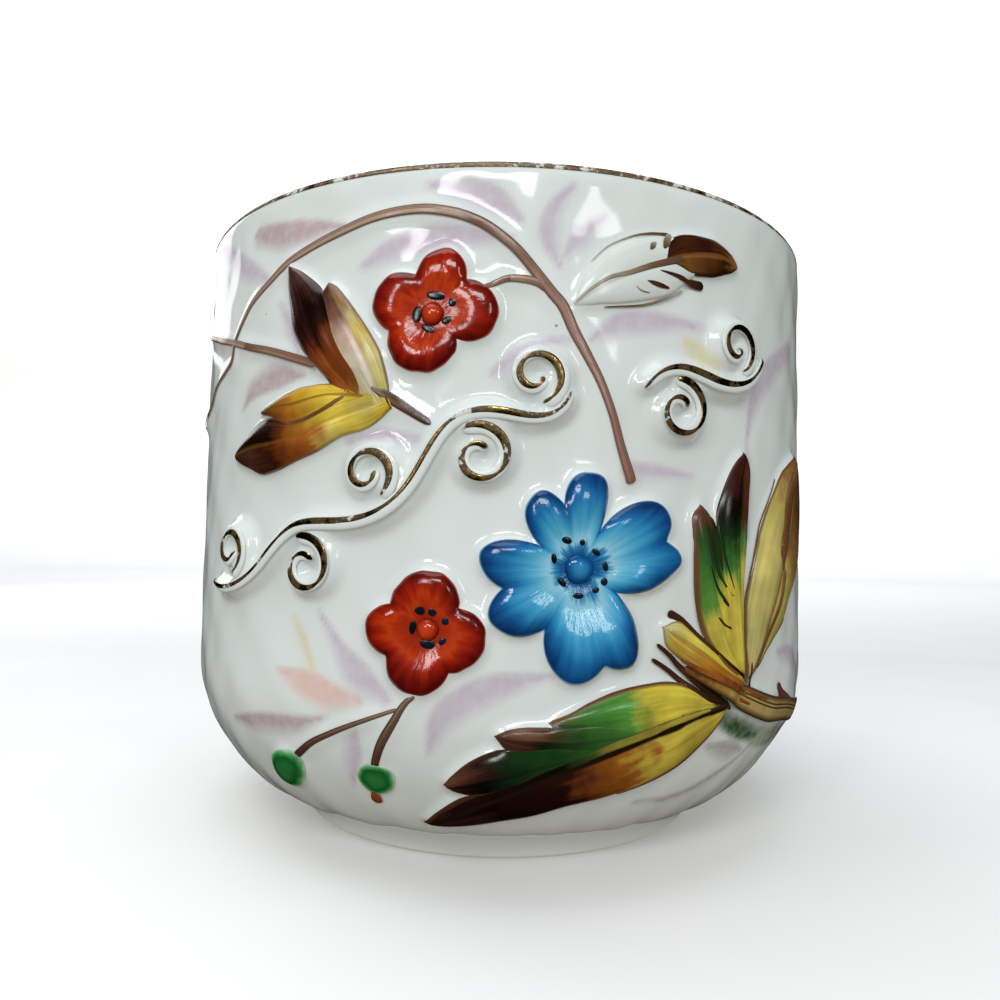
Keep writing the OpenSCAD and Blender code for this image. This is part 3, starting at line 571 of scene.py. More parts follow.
# %% Leaf enamel
def leaf_enamel(name, left, right, rib="#3a1d10", edge="#5b3320", rib_mm=0.3, edge_mm=0.3, rib_part=1.0,
                edge_part=0.8, streak=0.26, wander=0.12):
    finish, tree, skin = new_finish(name)
    place = put(tree, "ShaderNodeTexCoord").outputs["Object"]
    uv = put(tree, "ShaderNodeUVMap", uv_map="paint")
    axes = put(tree, "ShaderNodeSeparateXYZ", {0: uv})
    # brush hairs: long along the leaf, about half a millimetre across it
    hairs_at = put(tree, "ShaderNodeMapping", {"Vector": uv, "Scale": (2.0, 13.0, 1.0)})
    hairs = put(tree, "ShaderNodeTexNoise", {"Vector": hairs_at, "Scale": 1.0, "Detail": 3.0})
    cloud = put(tree, "ShaderNodeTexNoise", {"Vector": place, "Scale": 330.0, "Detail": 3.0})
    # the colours along the leaf meet in ragged borders
    ragged = put(tree, "ShaderNodeMath", {0: hairs, 1: cloud}, operation="ADD")
    moved = put(tree, "ShaderNodeMath", {0: ragged, 1: wander * 2.0, 2: axes.outputs["X"]},
                operation="MULTIPLY_ADD")
    along = put(tree, "ShaderNodeMath", {0: moved, 1: wander * 2.0}, operation="SUBTRACT")
    halves = [put(tree, "ShaderNodeValToRGB", {"Fac": along}, stops=stops) for stops in (right, left)]
    which = put(tree, "ShaderNodeMapRange", {"Value": axes.outputs["Y"], "From Min": 0.48, "From Max": 0.52})
    colour = put(tree, "ShaderNodeMix", {"Factor": which, "A": halves[0], "B": halves[1]}, data_type="RGBA")
    thin = put(tree, "ShaderNodeMapRange", {"Value": hairs, "From Min": 0.35, "From Max": 0.68,
                                            "To Min": 1.0 - streak, "To Max": 1.0 + 0.5 * streak})
    # where the brush paused, 4 mm patches of thicker and thinner colour
    pause = put(tree, "ShaderNodeTexNoise", {"Vector": place, "Scale": 240.0, "Detail": 2.0})
    thick = put(tree, "ShaderNodeMapRange", {"Value": pause, "From Min": 0.3, "From Max": 0.7,
                                             "To Min": 1.0 - 1.2 * streak, "To Max": 1.0 + 0.6 * streak})
    coat = put(tree, "ShaderNodeMath", {0: thin, 1: thick}, operation="MULTIPLY")
    shade = put(tree, "ShaderNodeCombineColor", {i: coat for i in range(3)})
    colour = put(tree, "ShaderNodeMix", {"Factor": 1.0, "A": colour, "B": shade},
                 data_type="RGBA", blend_type="MULTIPLY")
    for attribute, width, code, part in (("rib_mm", rib_mm, rib, rib_part), ("edge_mm", edge_mm, edge, edge_part)):
        far = put(tree, "ShaderNodeAttribute", attribute_name=attribute).outputs["Fac"]
        uneven = put(tree, "ShaderNodeMath", {0: cloud, 1: width, 2: far}, operation="MULTIPLY_ADD")
        line = put(tree, "ShaderNodeMapRange", {"Value": uneven, "From Min": width * 0.9,
                                                "From Max": width * 1.4, "To Min": part, "To Max": 0.0})
        colour = put(tree, "ShaderNodeMix", {"Factor": line, "A": colour, "B": code}, data_type="RGBA")
    rough = put(tree, "ShaderNodeMapRange", {"Value": cloud, "From Min": 0.3, "From Max": 0.7,
                                             "To Min": 0.14, "To Max": 0.3})
    bump = put(tree, "ShaderNodeBump", {"Height": hairs, "Strength": 0.15, "Distance": 0.0001})
    feed(tree, skin, {"Base Color": colour, "Roughness": rough, "Normal": bump, "IOR": 1.52})
    return finish


print("leaf enamel ready: base to tip, two halves, rib and edge")

# %% Enamels of the leaves with one blade: colours from base to tip on each half
LEAF_FINISHES = {
    "leaf_left_upper": leaf_enamel(
        "leaf_enamel_maroon", rib="#2a0f08", edge="#4a2418", rib_part=0.15, wander=0.2,
        left=[(0.0, "#b57a28"), (0.12, "#8f4a16"), (0.34, "#9a4d12"), (0.48, "#50190a"), (0.6, "#1c0805"),
              (0.74, "#3a1f1a"), (1.0, "#63443b")],
        right=[(0.0, "#b57a28"), (0.15, "#8a4413"), (0.36, "#7a380f"), (0.5, "#2a0e06"), (0.66, "#160804"),
               (0.8, "#3c231d"), (1.0, "#5c3d35")]),
    # the inner left leaf: the near-white cream a fifth of the way up its left half is partly pale enamel and partly
    # a painted highlight
    "leaf_left_inner": leaf_enamel(
        "leaf_enamel_pale_and_painted_highlight", rib="#a07a4a", edge="#7d5a50", rib_part=0.3, edge_part=0.8, wander=0.2,
        left=[(0.0, "#d8c83c"), (0.22, "#ece5cc"), (0.42, "#cdb09c"), (0.58, "#946654"), (0.78, "#63402f"),
              (1.0, "#4a2c26")],
        right=[(0.0, "#dccb3a"), (0.25, "#e8de9c"), (0.42, "#cdb24a"), (0.55, "#d6c78a"), (0.68, "#a07a48"),
               (0.85, "#7d5a4c"), (1.0, "#4a2c26")]),
    "leaf_left_middle": leaf_enamel(
        "leaf_enamel_amber", rib="#6d5414", edge="#7a5240", rib_part=0.7, edge_part=0.85, rib_mm=0.25,
        left=[(0.0, "#e2c638"), (0.3, "#e0bf3a"), (0.5, "#b4731d"), (0.7, "#9c5a18"), (0.85, "#7b4630"),
              (1.0, "#6b3c30")],
        right=[(0.0, "#e6cc3e"), (0.35, "#dfba32"), (0.55, "#b87a1e"), (0.72, "#8f5a22"), (0.85, "#7b4838"),
               (1.0, "#6b3e34")]),
    "leaf_left_lower": leaf_enamel(
        "leaf_enamel_russet", rib="#7d5a18", edge="#6a4428", rib_part=0.35, edge_part=0.6,
        left=[(0.0, "#d9be30"), (0.3, "#e3cf66"), (0.38, "#b86a24"), (0.52, "#8a4310"), (0.62, "#3f1b0e"),
              (0.8, "#4d2a1e"), (1.0, "#43241a")],
        right=[(0.0, "#e6d36a"), (0.28, "#d9bb38"), (0.42, "#a8691a"), (0.56, "#6d3510"), (0.66, "#1f0c07"),
               (0.8, "#2a120c"), (1.0, "#46261c")]),
    "leaf_right_outer": leaf_enamel(
        "leaf_enamel_straw", rib="#6a4a1e", edge="#6d4c28", rib_part=0.7, edge_part=0.85, rib_mm=0.35, edge_mm=0.35,
        streak=0.2,
        left=[(0.0, "#b5ab72"), (0.3, "#cbc070"), (0.6, "#d0c470"), (0.78, "#c2ac5e"), (0.9, "#94683a"),
              (1.0, "#5a3420")],
        right=[(0.0, "#b9a45a"), (0.3, "#c3b65c"), (0.52, "#cbbd66"), (0.64, "#9c7a40"), (0.8, "#7a4a2a"),
               (1.0, "#4a2a20")]),
    "leaf_right_small": leaf_enamel(
        "leaf_enamel_yellow", rib="#8a5a20", edge="#5c3a1c", rib_part=0.3, edge_part=0.5,
        left=[(0.0, "#9a6428"), (0.3, "#a8641f"), (0.6, "#b9862a"), (0.85, "#cdb24a"), (1.0, "#ded394")],
        right=[(0.0, "#c9a83c"), (0.4, "#dcc440"), (0.8, "#e2d05c"), (1.0, "#e6e0b0")]),
}
print("leaf enamels:", len(LEAF_FINISHES))

# %% [markdown]
# The lobed leaves on the right are painted across their lobes, so each lobe gets its own enamel:
# brown tips, then green, then yellow towards the stalk. The leaf at the top was left bare, and only
# its tip is painted.

# %% Enamels of the lobed leaves, one for each lobe
YELLOW = "#dcc446"
LOBE_FINISHES = {
    "leaf_upper_right": [
        leaf_enamel(
            "leaf_enamel_bare", rib="#8d7a68", edge="#b4b3ac", rib_part=0.3, edge_part=0.25, streak=0.04,
            left=[(0.0, "#dde6e2"), (1.0, "#d9e2de")],
            right=[(0.0, "#dde6e2"), (1.0, "#d9e2de")]),
        leaf_enamel(
            "leaf_enamel_amber_tip", rib="#a8733a", edge="#2a150c", rib_part=0.35, edge_part=0.9, rib_mm=0.4,
            edge_mm=0.5, streak=0.35, wander=0.2,
            left=[(0.0, "#2c140a"), (0.25, "#47220e"), (0.5, "#331608"), (0.75, "#5a2f10"), (0.92, "#a87830"),
                  (1.0, "#e0bc6a")],
            right=[(0.0, "#4a2810"), (0.3, "#80501f"), (0.5, "#5c3212"), (0.75, "#331608"), (0.92, "#96662a"),
                   (1.0, "#e0bc6a")])],
    "leaf_right_upright": [
        leaf_enamel(
            "leaf_enamel_green_left_lobe", rib="#2c4a20", edge="#6b4630", rib_part=0.2, edge_part=0.9, edge_mm=0.4,
            left=[(0.0, YELLOW), (0.3, "#d6c850"), (0.4, "#5d8f3a"), (0.6, "#2f6a2a"), (0.76, "#33502a"),
                  (0.84, "#5e3a26"), (1.0, "#6b4230")],
            right=[(0.0, YELLOW), (0.38, "#dcc84a"), (0.46, "#4f8a38"), (0.6, "#27401f"), (0.78, "#2c2f18"),
                   (0.86, "#5a3624"), (1.0, "#6b4230")]),
        leaf_enamel(
            "leaf_enamel_green_right_lobe", rib="#120a06", edge="#5a3422", rib_part=0.3, edge_part=0.5,
            left=[(0.0, "#d9c653"), (0.34, "#dac94e"), (0.42, "#4a8a3a"), (0.52, "#1d3a18"), (0.64, "#0f0a06"),
                  (0.8, "#3a1a12"), (1.0, "#4a261c")],
            right=[(0.0, "#d3c052"), (0.42, "#d2c252"), (0.5, "#43803a"), (0.58, "#4a2a1a"), (0.75, "#5a3020"),
                   (1.0, "#482419")])],
    "leaf_right_broad": [
        leaf_enamel(
            "leaf_enamel_broad_top_lobe", rib="#3a5a20", edge="#7a5636", rib_part=0.1, edge_part=0.8,
            left=[(0.0, "#cdbb3e"), (0.4, "#d8c646"), (0.52, "#4f8a34"), (0.75, "#2c5a26"), (0.92, "#3a4a24"),
                  (1.0, "#5c4028")],
            right=[(0.0, "#4f7a34"), (0.12, "#dcca46"), (0.42, "#dac844"), (0.52, "#4f9038"), (0.75, "#3f7a34"),
                   (0.92, "#5f5a34"), (1.0, "#6b4630")]),
        leaf_enamel(
            "leaf_enamel_broad_middle_lobe", rib="#14200f", edge="#5c3626", rib_part=0.2, edge_part=0.6,
            left=[(0.0, "#3f7a30"), (0.4, "#22441e"), (0.62, "#1a1a0e"), (0.75, "#4a2a1c"), (1.0, "#5e382a")],
            right=[(0.0, "#4a8434"), (0.4, "#2c5626"), (0.6, "#5a3e28"), (0.75, "#7a503e"), (1.0, "#5e382a")]),
        leaf_enamel(
            "leaf_enamel_broad_low_lobe", rib="#0c0a06", edge="#4a2a1c", rib_part=0.3, edge_part=0.5,
            left=[(0.0, "#2f6a28"), (0.4, "#17301a"), (0.66, "#0c0805"), (0.85, "#2c1610"), (1.0, "#5a3626")],
            right=[(0.0, "#2f6a2a"), (0.45, "#163218"), (0.62, "#2a160f"), (0.8, "#5a3626"), (1.0, "#6b4634")]),
        leaf_enamel(
            "leaf_enamel_broad_blade", rib="#1f1309", edge="#4f2e1c", rib_part=1.0, edge_part=0.8, rib_mm=0.4,
            edge_mm=0.35,
            left=[(0.0, "#b9a63c"), (0.32, "#d3be48"), (0.38, "#a8641c"), (0.5, "#7c3f16"), (0.58, "#2c120a"),
                  (0.75, "#160906"), (0.92, "#3a1f16"), (1.0, "#3f2419")],
            right=[(0.0, "#cbb844"), (0.35, "#b5a640"), (0.45, "#3f5a24"), (0.6, "#120b06"), (0.85, "#241009"),
                   (1.0, "#3a2018")])],
}
print("lobe enamels:", sum(map(len, LOBE_FINISHES.values())))

# %% [markdown]
# The petals are painted from the eye outwards, so the colour follows the first axis of their UV map,
# the share of the way out, and attributes give the direction from the eye and the distance to the
# edge. The red is an iron red that pools maroon in the hollows; the blue is a cobalt wash, pale near
# the eye and deep where it ran to the edge.

# %% Petal enamels
def petal_enamel(name, stops, edge, edge_mm, hair_count, streak, mottle, pools, gloss):
    finish, tree, skin = new_finish(name)
    place = put(tree, "ShaderNodeTexCoord").outputs["Object"]
    uv = put(tree, "ShaderNodeUVMap", uv_map="paint")
    way_out = put(tree, "ShaderNodeSeparateXYZ", {0: uv}).outputs["X"]
    # the direction from the eye is kept as a sine and a cosine, so that the hairs meet without a seam
    ray_x, ray_z, far = (put(tree, "ShaderNodeAttribute", attribute_name=attribute).outputs["Fac"]
                         for attribute in ("ray_x", "ray_z", "edge_mm"))
    ray = put(tree, "ShaderNodeCombineXYZ", {"X": ray_x, "Y": ray_z, "Z": way_out})
    hairs_at = put(tree, "ShaderNodeMapping", {"Vector": ray, "Scale": (hair_count, hair_count, 1.6)})
    hairs = put(tree, "ShaderNodeTexNoise", {"Vector": hairs_at, "Scale": 1.0, "Detail": 3.0})
    pool = put(tree, "ShaderNodeTexNoise", {"Vector": place, "Scale": pools, "Detail": 3.0})
    moved = put(tree, "ShaderNodeMath", {0: hairs, 1: streak, 2: way_out}, operation="MULTIPLY_ADD")
    pooled = put(tree, "ShaderNodeMath", {0: pool, 1: mottle, 2: moved}, operation="MULTIPLY_ADD")
    share = put(tree, "ShaderNodeMath", {0: pooled, 1: 0.5 * (streak + mottle)}, operation="SUBTRACT")
    tone = put(tree, "ShaderNodeValToRGB", {"Fac": share}, stops=stops)
    uneven = put(tree, "ShaderNodeMath", {0: pool, 1: edge_mm, 2: far}, operation="MULTIPLY_ADD")
    line = put(tree, "ShaderNodeMapRange", {"Value": uneven, "From Min": edge_mm * 0.7,
                                            "From Max": edge_mm * 1.6, "To Min": 0.8, "To Max": 0.0})
    edged = put(tree, "ShaderNodeMix", {"Factor": line, "A": tone, "B": edge}, data_type="RGBA")
    rough = put(tree, "ShaderNodeMapRange", {"Value": pool, "From Min": 0.3, "From Max": 0.7,
                                             "To Min": gloss, "To Max": gloss * 2.2})
    # fired enamel has a skin like orange peel, half a millimetre from dimple to dimple
    peel = put(tree, "ShaderNodeTexNoise", {"Vector": place, "Scale": 2000.0, "Detail": 1.0})
    height = put(tree, "ShaderNodeMath", {0: peel, 1: 0.5, 2: hairs}, operation="MULTIPLY_ADD")
    bump = put(tree, "ShaderNodeBump", {"Height": height, "Strength": 0.3, "Distance": 0.00012})
    feed(tree, skin, {"Base Color": edged, "Roughness": rough, "Normal": bump, "IOR": 1.54})
    return finish


RED_ENAMEL = petal_enamel(
    "iron_red_enamel",
    stops=[(0.0, "#96260f"), (0.25, "#a82c0f"), (0.42, "#bb3a10"), (0.58, "#a0230a"), (0.78, "#7c1408"),
           (1.0, "#560b07")],
    edge="#a83a26", edge_mm=0.16, hair_count=5.5, streak=0.6, mottle=1.0, pools=150.0, gloss=0.09)
BLUE_ENAMEL = petal_enamel(
    "cobalt_blue_enamel",
    stops=[(0.0, "#1a5a94"), (0.12, "#3a8cba"), (0.2, "#92cce2"), (0.38, "#60b4d6"), (0.56, "#3a98c6"),
           (0.74, "#1d6ea8"), (0.88, "#124f8a"), (1.0, "#0d3468")],
    edge="#62b0d0", edge_mm=0.2, hair_count=11.0, streak=0.3, mottle=0.5, pools=120.0, gloss=0.08)
print("finishes:", RED_ENAMEL.name, BLUE_ENAMEL.name)

# %% [markdown]
# Stems, buds and the dark dots are painted with the same enamels in one colour each, broken by the
# brush. Their paths carry an attribute that runs from 0 to 1 along the stroke, and the colour
# follows it: thin and light where the brush was dragged, dark where it was set down.

# %% Brush-line enamel
def stroke_enamel(name, stops, spread=0.25, size=520.0, gloss=0.2, side=None):
    finish, tree, skin = new_finish(name)
    place = put(tree, "ShaderNodeTexCoord").outputs["Object"]
    along = put(tree, "ShaderNodeAttribute", attribute_name="along").outputs["Fac"]
    # patches of about two millimetres unless a finish says otherwise
    cloud = put(tree, "ShaderNodeTexNoise", {"Vector": place, "Scale": size, "Detail": 4.0, "Roughness": 0.6})
    moved = put(tree, "ShaderNodeMath", {0: cloud, 1: spread, 2: along}, operation="MULTIPLY_ADD")
    share = put(tree, "ShaderNodeMath", {0: moved, 1: 0.5 * spread}, operation="SUBTRACT")
    tone = put(tree, "ShaderNodeValToRGB", {"Fac": share}, stops=stops)
    if side:
        # the brush leaves its colour at both sides: across is 0 on the back, 1/4 and 3/4 at the sides
        across = put(tree, "ShaderNodeAttribute", attribute_name="across").outputs["Fac"]
        turn = put(tree, "ShaderNodeMath", {0: across, 1: 2 * math.pi}, operation="MULTIPLY")
        swing = put(tree, "ShaderNodeMath", {0: turn}, operation="SINE")
        flank = put(tree, "ShaderNodeMath", {0: swing}, operation="ABSOLUTE")
        edge = put(tree, "ShaderNodeMapRange", {"Value": flank, "From Min": 0.45, "From Max": 0.9})
        tone = put(tree, "ShaderNodeMix", {"Factor": edge, "A": tone, "B": side}, data_type="RGBA")
    rough = put(tree, "ShaderNodeMapRange", {"Value": cloud, "From Min": 0.3, "From Max": 0.7,
                                             "To Min": gloss * 0.7, "To Max": gloss * 1.5})
    bump = put(tree, "ShaderNodeBump", {"Height": cloud, "Strength": 0.3, "Distance": 0.0001})
    feed(tree, skin, {"Base Color": tone, "Roughness": rough, "Normal": bump, "IOR": 1.52})
    return finish


print("brush-line enamel ready: start to end of a stroke, with or without darker sides")

# %% The brush lines' colours
BARK = stroke_enamel(
    "brown_enamel_stem", spread=0.05, side="#71533f",
    stops=[(0.0, "#6d5247"), (0.2, "#8f7364"), (0.4, "#b19886"), (0.52, "#ab907e"), (0.54, "#6b4d42"),
           (0.7, "#9e7a6c"), (0.85, "#987265"), (1.0, "#8e685c")])
TWIG = stroke_enamel("brown_enamel_twig", [(0.0, "#9a8270"), (0.45, "#76594a"), (1.0, "#33190f")], side="#432a1e")
SPRAY = stroke_enamel(
    "ochre_enamel_twig", spread=0.9, size=300.0, side="#4f3a22",
    stops=[(0.0, "#7a4a20"), (0.25, "#a8823c"), (0.5, "#b9a66a"), (0.75, "#a8925c"), (1.0, "#8a8a68")])
DARK_LINE = stroke_enamel("sepia_enamel_line", [(0.0, "#3a2012"), (0.5, "#4a2a18"), (1.0, "#24120a")], spread=0.5)
PALE_LINE = stroke_enamel(
    "worn_enamel_line", [(0.0, "#b5b3aa"), (0.4, "#8d8270"), (0.7, "#6d563e"), (1.0, "#59432f")], spread=0.6)
OUTLINE = stroke_enamel("umber_enamel_outline", [(0.0, "#7d5636"), (0.5, "#6a4429"), (1.0, "#84603c")], spread=0.6)
RUSSET = stroke_enamel("russet_enamel", [(0.0, "#8a3a1e"), (0.5, "#a04a28"), (1.0, "#7a301a")], spread=0.5)
MAROON = stroke_enamel("maroon_enamel", [(0.0, "#5c302c"), (0.5, "#6d3e38"), (1.0, "#8a625c")], spread=0.5)
STREAK = stroke_enamel(
    "russet_streak_enamel", [(0.0, "#6d3a14"), (0.4, "#9a5a22"), (0.7, "#7a4218"), (1.0, "#8f6a3a")],
    spread=0.9, size=700.0)
MOSS = stroke_enamel("moss_green_enamel", [(0.0, "#16240f"), (0.5, "#22381a"), (1.0, "#33240f")], gloss=0.14)
BLACK_DOT = stroke_enamel("blue_black_enamel", [(0.0, "#0e131c"), (0.6, "#161e2a"), (1.0, "#0a0d14")], spread=0.6)
BUD_GREEN = stroke_enamel(
    "green_enamel", spread=0.75, size=480.0,
    stops=[(0.0, "#2a7a3c"), (0.25, "#1d6a30"), (0.45, "#155a28"), (0.62, "#2f7f40"), (0.8, "#5aa566"),
           (1.0, "#a9cdb0")])
BLUE_EYE = stroke_enamel("deep_cobalt_enamel", [(0.0, "#3088bd"), (0.5, "#135a94"), (1.0, "#0a3468")],
                         spread=0.3, gloss=0.1)
RED_EYE = stroke_enamel("bright_iron_red_enamel", [(0.0, "#c2401f"), (0.6, "#a82c12"), (1.0, "#84180a")],
                        spread=0.4, gloss=0.1)
print("enamels so far:", [finish.name for finish in bpy.data.materials if "enamel" in finish.name])

# %% [markdown]
# Stems, handle and gilt lines are all a section swept along a line, which is what Geometry Nodes do
# best: the line comes in as bare edges with a half width and an outward direction at each point, and
# one tree turns any such line into a closed, finished band. Setting the curve's normals by hand
# (Free) keeps a flat band lying on the wall, where the default twist would let it roll over.

# %% How every node tree here starts and ends
def new_tree(name, inputs, output):
    """A geometry tree with named inputs and one output: gives the tree and its input sockets."""
    tree = bpy.data.node_groups.new(name, "GeometryNodeTree")
    for label, kind in inputs.items():
        tree.interface.new_socket(label, in_out="INPUT", socket_type="NodeSocket" + kind)
    tree.interface.new_socket(output, in_out="OUTPUT", socket_type="NodeSocketGeometry")
    return tree, put(tree, "NodeGroupInput").outputs


def end_tree(tree, shape, finish):
    """Real geometry, because the export keeps no instances, shaded smooth and with its finish."""
    real = put(tree, "GeometryNodeRealizeInstances", {"Geometry": shape})
    smooth = put(tree, "GeometryNodeSetShadeSmooth", {"Geometry": real})
    done = put(tree, "GeometryNodeSetMaterial", {"Geometry": smooth, "Material": finish})
    put(tree, "NodeGroupOutput", {0: done})
    return tree


def in_scene(name, data):
    """An object for a mesh, a lamp or a camera, linked to the scene."""
    made = bpy.data.objects.new(name, data)
    bpy.context.scene.collection.objects.link(made)
    return made


def shape_from_nodes(name, mesh, tree, values):
    """Runs a tree on a mesh and keeps the result as a plain mesh piece."""
    raw = in_scene(name + "_line", mesh)
    modifier = raw.modifiers.new("shape", "NODES")
    modifier.node_group = tree
    sockets = {item.name: item.identifier for item in tree.interface.items_tree if item.in_out == "INPUT"}
    for key, value in values.items():
        modifier[sockets[key]] = value
    bpy.context.view_layer.update()
    made = bpy.data.meshes.new_from_object(raw.evaluated_get(bpy.context.evaluated_depsgraph_get()))
    raw.modifiers.remove(modifier)
    bpy.data.objects.remove(raw)
    made.name = name
    return in_scene(name, made)


print("node groups so far:", len(bpy.data.node_groups))

# %% A Geometry Nodes tree that sweeps an oval along a line
def swept_band_tree():
    tree, given = new_tree("swept_band", {"Line": "Geometry", "Flatness": "Float", "Sides": "Int",
                                          "Finish": "Material"}, "Band")
    half = put(tree, "GeometryNodeInputNamedAttribute", {"Name": "half_width"}, data_type="FLOAT")
    out = put(tree, "GeometryNodeInputNamedAttribute", {"Name": "outward"}, data_type="FLOAT_VECTOR")
    curve = put(tree, "GeometryNodeMeshToCurve", {"Mesh": given["Line"]})
    faced = put(tree, "GeometryNodeSetCurveNormal", {"Curve": curve, "Normal": out}, mode="FREE")
    ring = put(tree, "GeometryNodeCurvePrimitiveCircle", {"Resolution": given["Sides"], "Radius": 1.0})
    flat = put(tree, "ShaderNodeCombineXYZ", {"X": given["Flatness"], "Y": 1.0, "Z": 1.0})
    round_it = put(tree, "GeometryNodeSplineParameter")
    named = put(tree, "GeometryNodeStoreNamedAttribute", {"Geometry": ring, "Name": "across", "Value": round_it},
                data_type="FLOAT", domain="POINT")
    oval = put(tree, "GeometryNodeTransform", {"Geometry": named, "Scale": flat})
    band = put(tree, "GeometryNodeCurveToMesh", {"Curve": faced, "Profile Curve": oval,
                                                 "Scale": half, "Fill Caps": True})
    return end_tree(tree, band, given["Finish"])


def store(mesh, **fields):
    """Keeps a number or a direction at each point of a mesh, under the name of each field."""
    for key, values in fields.items():
        values = np.asarray(values, np.float32)
        kind, part = ("FLOAT", "value") if values.ndim == 1 else ("FLOAT_VECTOR", "vector")
        mesh.attributes.new(key, kind, "POINT").data.foreach_set(part, values.ravel())


def line_mesh(name, lines):
    """Edges along lines of (points in metres, half widths in metres, outward directions)."""
    points, edges, half, out, along = [], [], [], [], []
    for line, width, normal in lines:
        start, n = len(points), len(line)
        points.extend(map(tuple, line))
        edges.extend((start + i, start + i + 1) for i in range(n - 1))
        half.extend(width)
        out.extend(normal)
        along.extend(np.linspace(0, 1, n))
    mesh = bpy.data.meshes.new(name)
    mesh.from_pydata(points, edges, [])
    store(mesh, half_width=half, outward=out, along=along)
    return mesh


SWEPT_BAND = swept_band_tree()
print("tree:", SWEPT_BAND.name, [i.name for i in SWEPT_BAND.interface.items_tree])

# %% Bands that lie on the relief
# a stroke's end narrows to this share of its width over this length
BLUNT, TAPER_MM = 0.35, 0.7


def wall_band(name, strokes, finish, flatness, raised, sides=12, step=0.5):
    """Bands laid on the relief: strokes are (drawn points, width, width, ...), the widths evenly spaced."""
    lines = []
    for points, *widths in strokes:
        rough_length = np.linalg.norm(np.diff(np.asarray(points, float), axis=0), axis=1).sum()
        u = np.linspace(0, 1, max(8, int(rough_length / step)))
        line = smooth_line(points, u)
        taper = np.minimum(1, np.minimum(u, 1 - u) * rough_length / TAPER_MM) ** 0.5
        half = smooth_line(widths, u)[:, 0] / 2 * (BLUNT + (1 - BLUNT) * taper)
        x, z = line[:, 0], line[:, 1]
        lines.append((on_wall(x, z, lift_at(x, z) + raised), half * MM, wall_normal(x, z)))
    return shape_from_nodes(name, line_mesh(name, lines), SWEPT_BAND,
                            {"Flatness": flatness, "Sides": sides, "Finish": finish})


def settle(piece, slot, *nodes):
    """Ties a finished piece to the cup and hides the CAD nodes it stands for; slot is not used."""
    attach(piece, "root")
    if nodes:
        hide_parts(*nodes)
    print(f"{piece.name}: {len(piece.data.polygons)} faces")
    return piece


print("a stroke's ends taper over", TAPER_MM, "mm")

# %% [markdown]
# Solid pieces that lie on the wall share one more helper: an upper and a lower grid of points are
# closed into a slab with its UV map and attributes. The lower grid lies inside the wall, so no light
# shows under an edge.

# %% Slabs that lie on the wall
# thickness of a coat of paint, and how deep it is rooted in the clay (mm)
PAINT, ROOT = 0.05, 0.25


def mesh_piece(name, points, faces, finish):
    """A smooth-shaded piece from points in metres."""
    mesh = bpy.data.meshes.new(name)
    mesh.from_pydata(points.tolist(), [], faces)
    mesh.polygons.foreach_set("use_smooth", [True] * len(faces))
    mesh.materials.append(finish)
    return in_scene(name, mesh)


def slab_faces(rows, cols, wrap):
    """Faces of a closed slab: its top, its underside and its rim; wrap joins the last row to the first."""
    k = rows * cols
    runs = rows if wrap else rows - 1
    i, j = np.meshgrid(np.arange(runs), np.arange(cols - 1), indexing="ij")
    a, d = (i * cols + j).ravel(), ((i + 1) % rows * cols + j).ravel()
    upper = np.stack([a, a + 1, d + 1, d], -1)
    rim = []
    for i in range(runs):
        a, d = i * cols, (i + 1) % rows * cols
        rim += [(d, d + k, a + k, a), (a + cols - 1, a + cols - 1 + k, d + cols - 1 + k, d + cols - 1)]
    if not wrap:
        for j in range(cols - 1):
            c = (rows - 1) * cols + j
            rim += [(j, j + k, j + 1 + k, j + 1), (c + 1, c + 1 + k, c + k, c)]
    return np.concatenate([upper, upper[:, ::-1] + k, np.array(rim)]), len(upper)


def slab(name, top, low, finish, uv, numbers, wrap=False):
    """Closed solid between two grids of points in metres, with its UV map and attributes."""
    faces, upper = slab_faces(*top.shape[:2], wrap)
    points = np.concatenate([top.reshape(-1, 3), low.reshape(-1, 3)])
    piece = mesh_piece(name, points, faces.tolist(), finish)
    mesh = piece.data
    # the upper side has to face away from the cup's axis
    if np.dot(mesh.polygons[upper // 2].normal, [*points.mean(0)[:2], 0]) < 0:
        mesh.flip_normals()
    corner = np.zeros(len(mesh.loops), np.int32)
    mesh.loops.foreach_get("vertex_index", corner)
    layer = mesh.uv_layers.new(name="paint")
    layer.data.foreach_set("uv", np.concatenate([uv.reshape(-1, 2)] * 2)[corner].astype(np.float32).ravel())
    store(mesh, **{key: np.concatenate([np.ravel(values)] * 2) for key, values in numbers.items()})
    mesh.update()
    return piece


def paint_coat(name, spot, thick, finish, uv, numbers, wrap=False):
    """A slab of paint on the relief."""
    x, z = spot[..., 0], spot[..., 1]
    lift = lift_at(x, z)
    return slab(name, on_wall(x, z, lift + thick), on_wall(x, z, lift - ROOT), finish, uv, numbers, wrap)


print("paint thickness", PAINT, "mm, rooted", ROOT, "mm deep")

# %% [markdown]
# The body is one closed skin: round the outside with the relief, over the rim, down the inside,
# across the floor and back under the foot. A Screw modifier could not carry the relief, so the rows
# and columns are laid out in numpy, close together at the front where the sprigs are and further
# apart at the plain back. Here and there the wall sags by up to 0.2 mm, as thrown clay does.

# %% Cup body: rows of the profile and columns round it
OUTER_STEP, INNER_STEP, HUB_R = 0.46, 1.6, 1.5
FRONT_DEG, FRONT_STEP, BACK_COLUMNS = 80, 0.575, 78


def spaced(profile, step):
    """A profile resampled at about even steps."""
    p = np.asarray(profile, float)
    way = np.concatenate([[0], np.cumsum(np.linalg.norm(np.diff(p, axis=0), axis=1))])
    at = np.linspace(0, way[-1], int(way[-1] / step) + 1)
    return np.stack([np.interp(at, way, p[:, 0]), np.interp(at, way, p[:, 1])], -1)


